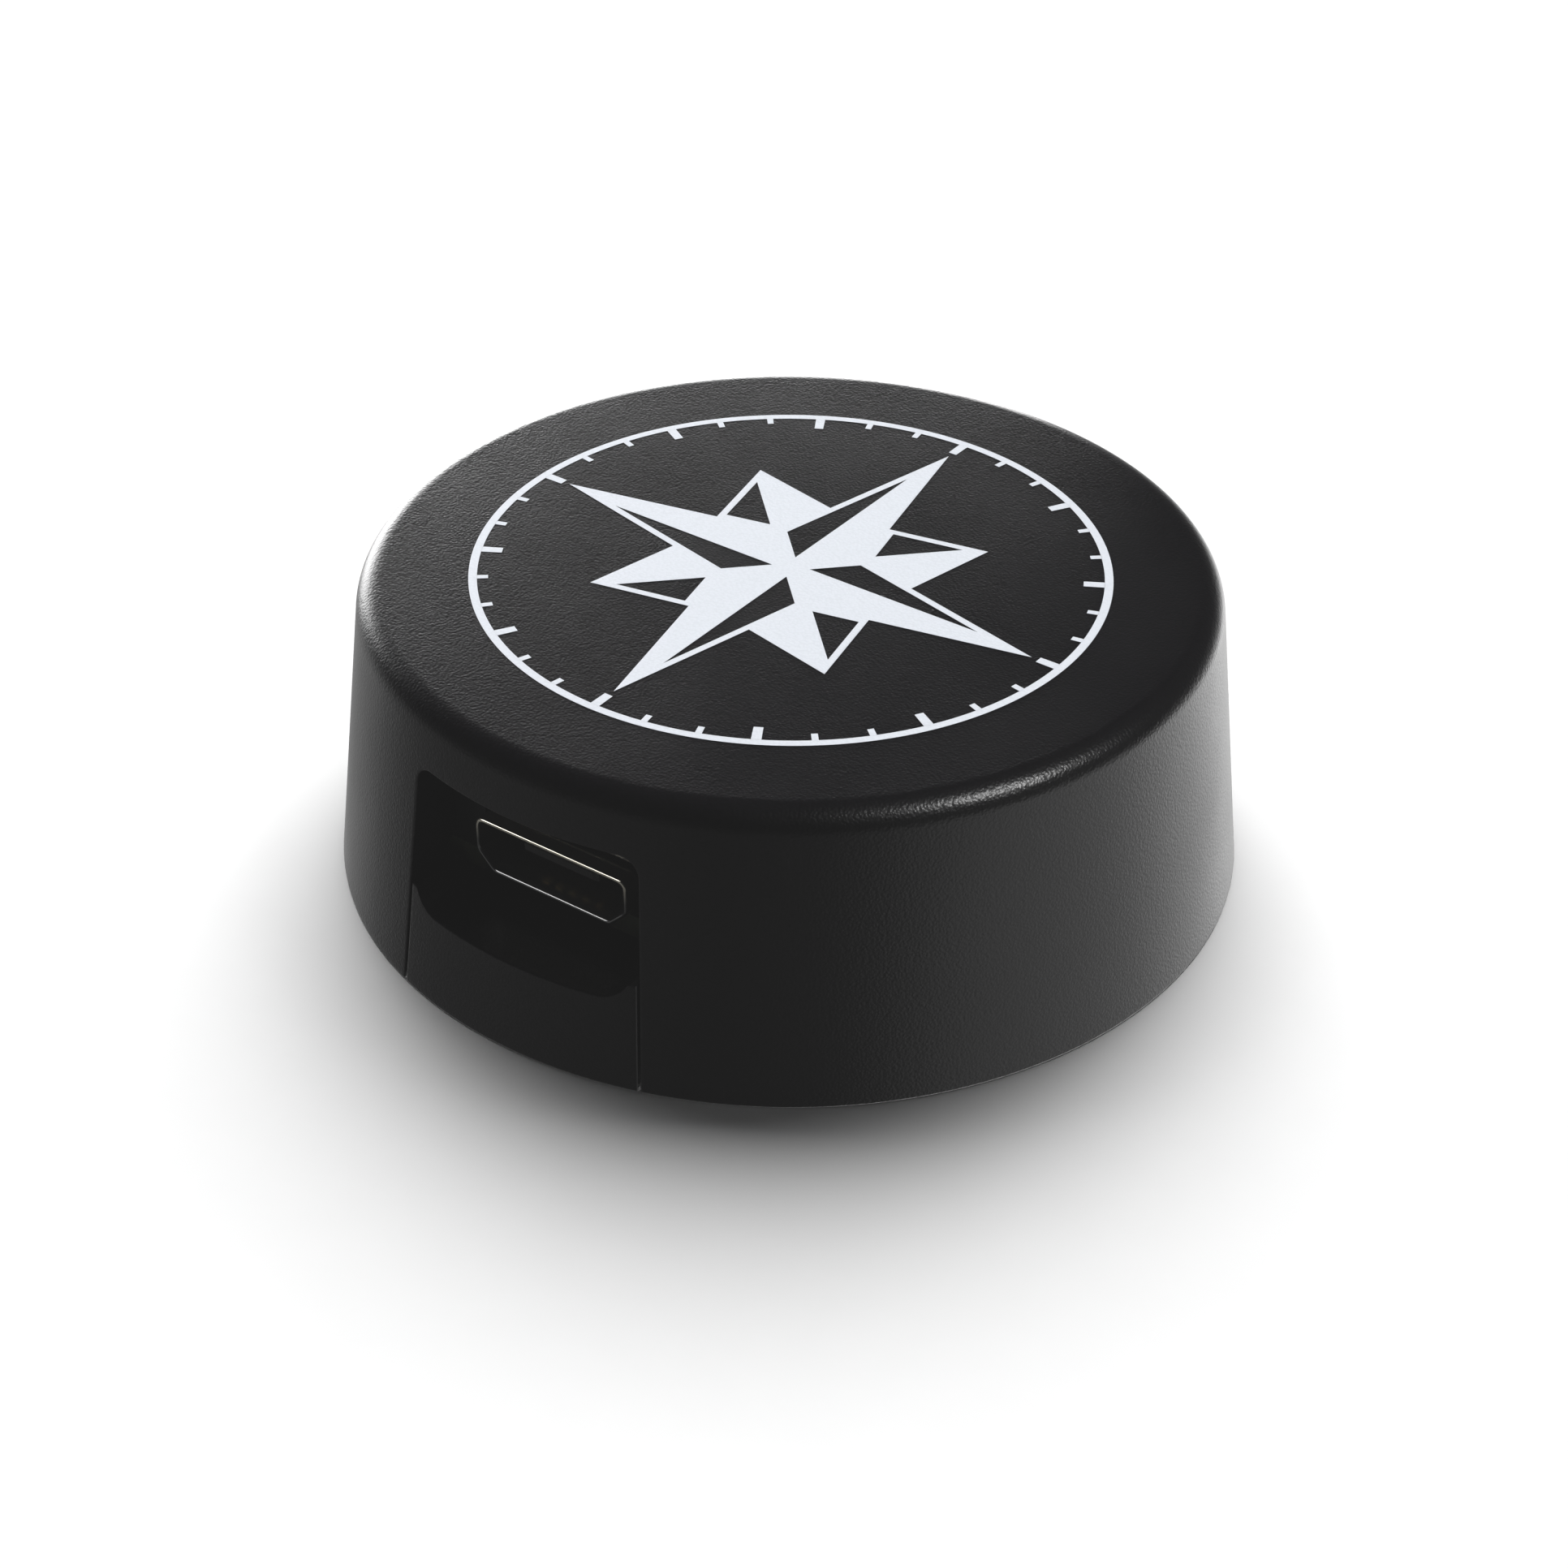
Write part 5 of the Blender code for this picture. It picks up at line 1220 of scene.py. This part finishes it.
def joined(kind, first, second, share=None):
    """Two linked colours put together by a mix node of a kind."""
    node = place_node(tree, "ShaderNodeMix", {0: 1.0}, data_type="RGBA", blend_type=kind)
    if share:
        tree.links.new(share, node.inputs[0])
    for socket, colour in ((node.inputs[6], first), (node.inputs[7], second)):
        tree.links.new(colour, socket)
    return node.outputs[2]


def card(around_stops, height_stops):
    """A soft card: its brightness round the puck times its brightness over the height.

    Round the puck, 0 and 1 are straight behind it, 0.25 its left, 0.5 the camera and 0.75
    its right. Of the height, 0 is straight down, 0.5 level and 1 straight up, by the sine.
    """
    return joined("MULTIPLY", tones(around, around_stops), tones(height, height_stops))


turn = place_node(tree, "ShaderNodeMath", operation="ARCTAN2")
tree.links.new(along_axis(right), turn.inputs[0])
tree.links.new(along_axis(-away), turn.inputs[1])
around = ranged(tree, turn.outputs[0], 0.0, 1.0, -math.pi, math.pi)
height = ranged(tree, along_axis(up), 0.0, 1.0, -1.0, 1.0)
left_tones = {0.0: 0.0, 0.06: 0.32, 0.11: 0.26, 0.155: 0.14, 0.178: 0.075, 0.21: 0.055}
left_card = card(
    {**left_tones, 0.3: 0.053, 0.38: 0.03, 0.44: 0.0},
    {0.0: 0.5, 0.26: 0.6, 0.36: 1.1, 0.42: 1.0, 0.5: 0.45, 0.62: 0.12, 0.72: 0.02},
)
right_tones = {0.34: 0.01, 0.44: 0.028, 0.54: 0.046, 0.64: 0.32, 0.75: 0.44, 0.83: 0.8}
right_card = card(
    {**right_tones, 0.9: 1.0, 1.0: 0.03},
    {0.0: 0.95, 0.12: 0.78, 0.2: 0.33, 0.27: 0.72, 0.33: 1.1, 0.44: 0.28, 0.52: 0.015},
)
back_card = card(
    {0.0: 0.3, 0.07: 0.0, 0.93: 0.0, 1.0: 0.3},
    {0.0: 0.5, 0.33: 0.9, 0.5: 0.6, 0.6: 0.05, 0.68: 0.0},
)
room = joined("ADD", joined("ADD", left_card, right_card), back_card)
path = place_node(tree, "ShaderNodeLightPath")
plain = place_node(tree, "ShaderNodeRGB")
plain.outputs[0].default_value = (1, 1, 1, 1)
seen = joined("MIX", plain.outputs[0], room, path.outputs["Is Glossy Ray"])
matt_fill, room_strength = 0.03, 3.0
fill = ranged(tree, path.outputs["Is Glossy Ray"], matt_fill, room_strength)
strength = place_node(tree, "ShaderNodeMix", {3: 1.0}, data_type="FLOAT")
tree.links.new(path.outputs["Is Camera Ray"], strength.inputs[0])
tree.links.new(fill, strength.inputs[2])
background = tree.nodes["Background"]
tree.links.new(seen, background.inputs["Color"])
tree.links.new(strength.outputs[0], background.inputs["Strength"])


def add_lamp(name, place, aim, size, power, lights, shines, only=None):
    """A soft rectangular lamp that lights matt surfaces, shines in glossy ones, or both.

    It can be kept to one piece only.
    """
    data = bpy.data.lights.new(name, "AREA")
    data.shape, data.size, data.size_y, data.energy = "RECTANGLE", *size, power
    lamp = bpy.data.objects.new(name, data)
    lamp.location = place
    lamp.rotation_euler = (place - aim).to_track_quat("Z", "Y").to_euler()
    lamp.visible_camera, lamp.visible_diffuse, lamp.visible_glossy = False, lights, shines
    if only:
        lit = bpy.data.collections.new(name + "_lit")
        lit.objects.link(only)
        lamp.light_linking.receiver_collection = lit
    bpy.context.collection.objects.link(lamp)


puck = up * 0.006  # the puck's middle
overhead = (away * 0.38 + right * 0.04 + up * 0.5) * 16
add_lamp("overhead_lamp", overhead, puck, (9.6, 9.6), 1960.0, lights=True, shines=False)
near_way = right * 0.3 - away  # the way the two low boards face
low_place = away * 0.05 - right * 0.0175 + up * 0.012
far_place = away * 0.1 - right * 0.06 + up * 0.03
edge_place = puck + right * 0.15 - away * 0.082 + up * 0.18
port = Vector((0, port_mouth, 7.5 * mm))
port_place = port + Vector((-0.49, -0.54, 0.68)) * 0.2
for name, place, aim, size, power, only in (
    ("low_board", low_place, low_place + near_way, (0.075, 0.02), 0.0275, None),
    ("far_board", far_place, far_place + near_way, (0.08, 0.03), 0.034, None),
    ("edge_board", edge_place, puck, (0.018, 0.018), 0.30, None),
    ("port_board", port_place, port, (0.13, 0.13), 0.19, receptacle),
):
    add_lamp(name, place, aim, size, power, lights=False, shines=True, only=only)

camera_data = bpy.data.cameras.new("camera")
camera_data.sensor_width, camera_data.lens = 36.0, 74.87
camera_data.clip_start = 0.01
camera = bpy.data.objects.new("camera", camera_data)
camera.location = (66.772 * mm, -93.025 * mm, 80.574 * mm)
camera.rotation_euler = [math.radians(a) for a in (55.5292, -0.2915, 35.9840)]
bpy.context.collection.objects.link(camera)
bpy.context.scene.camera = camera
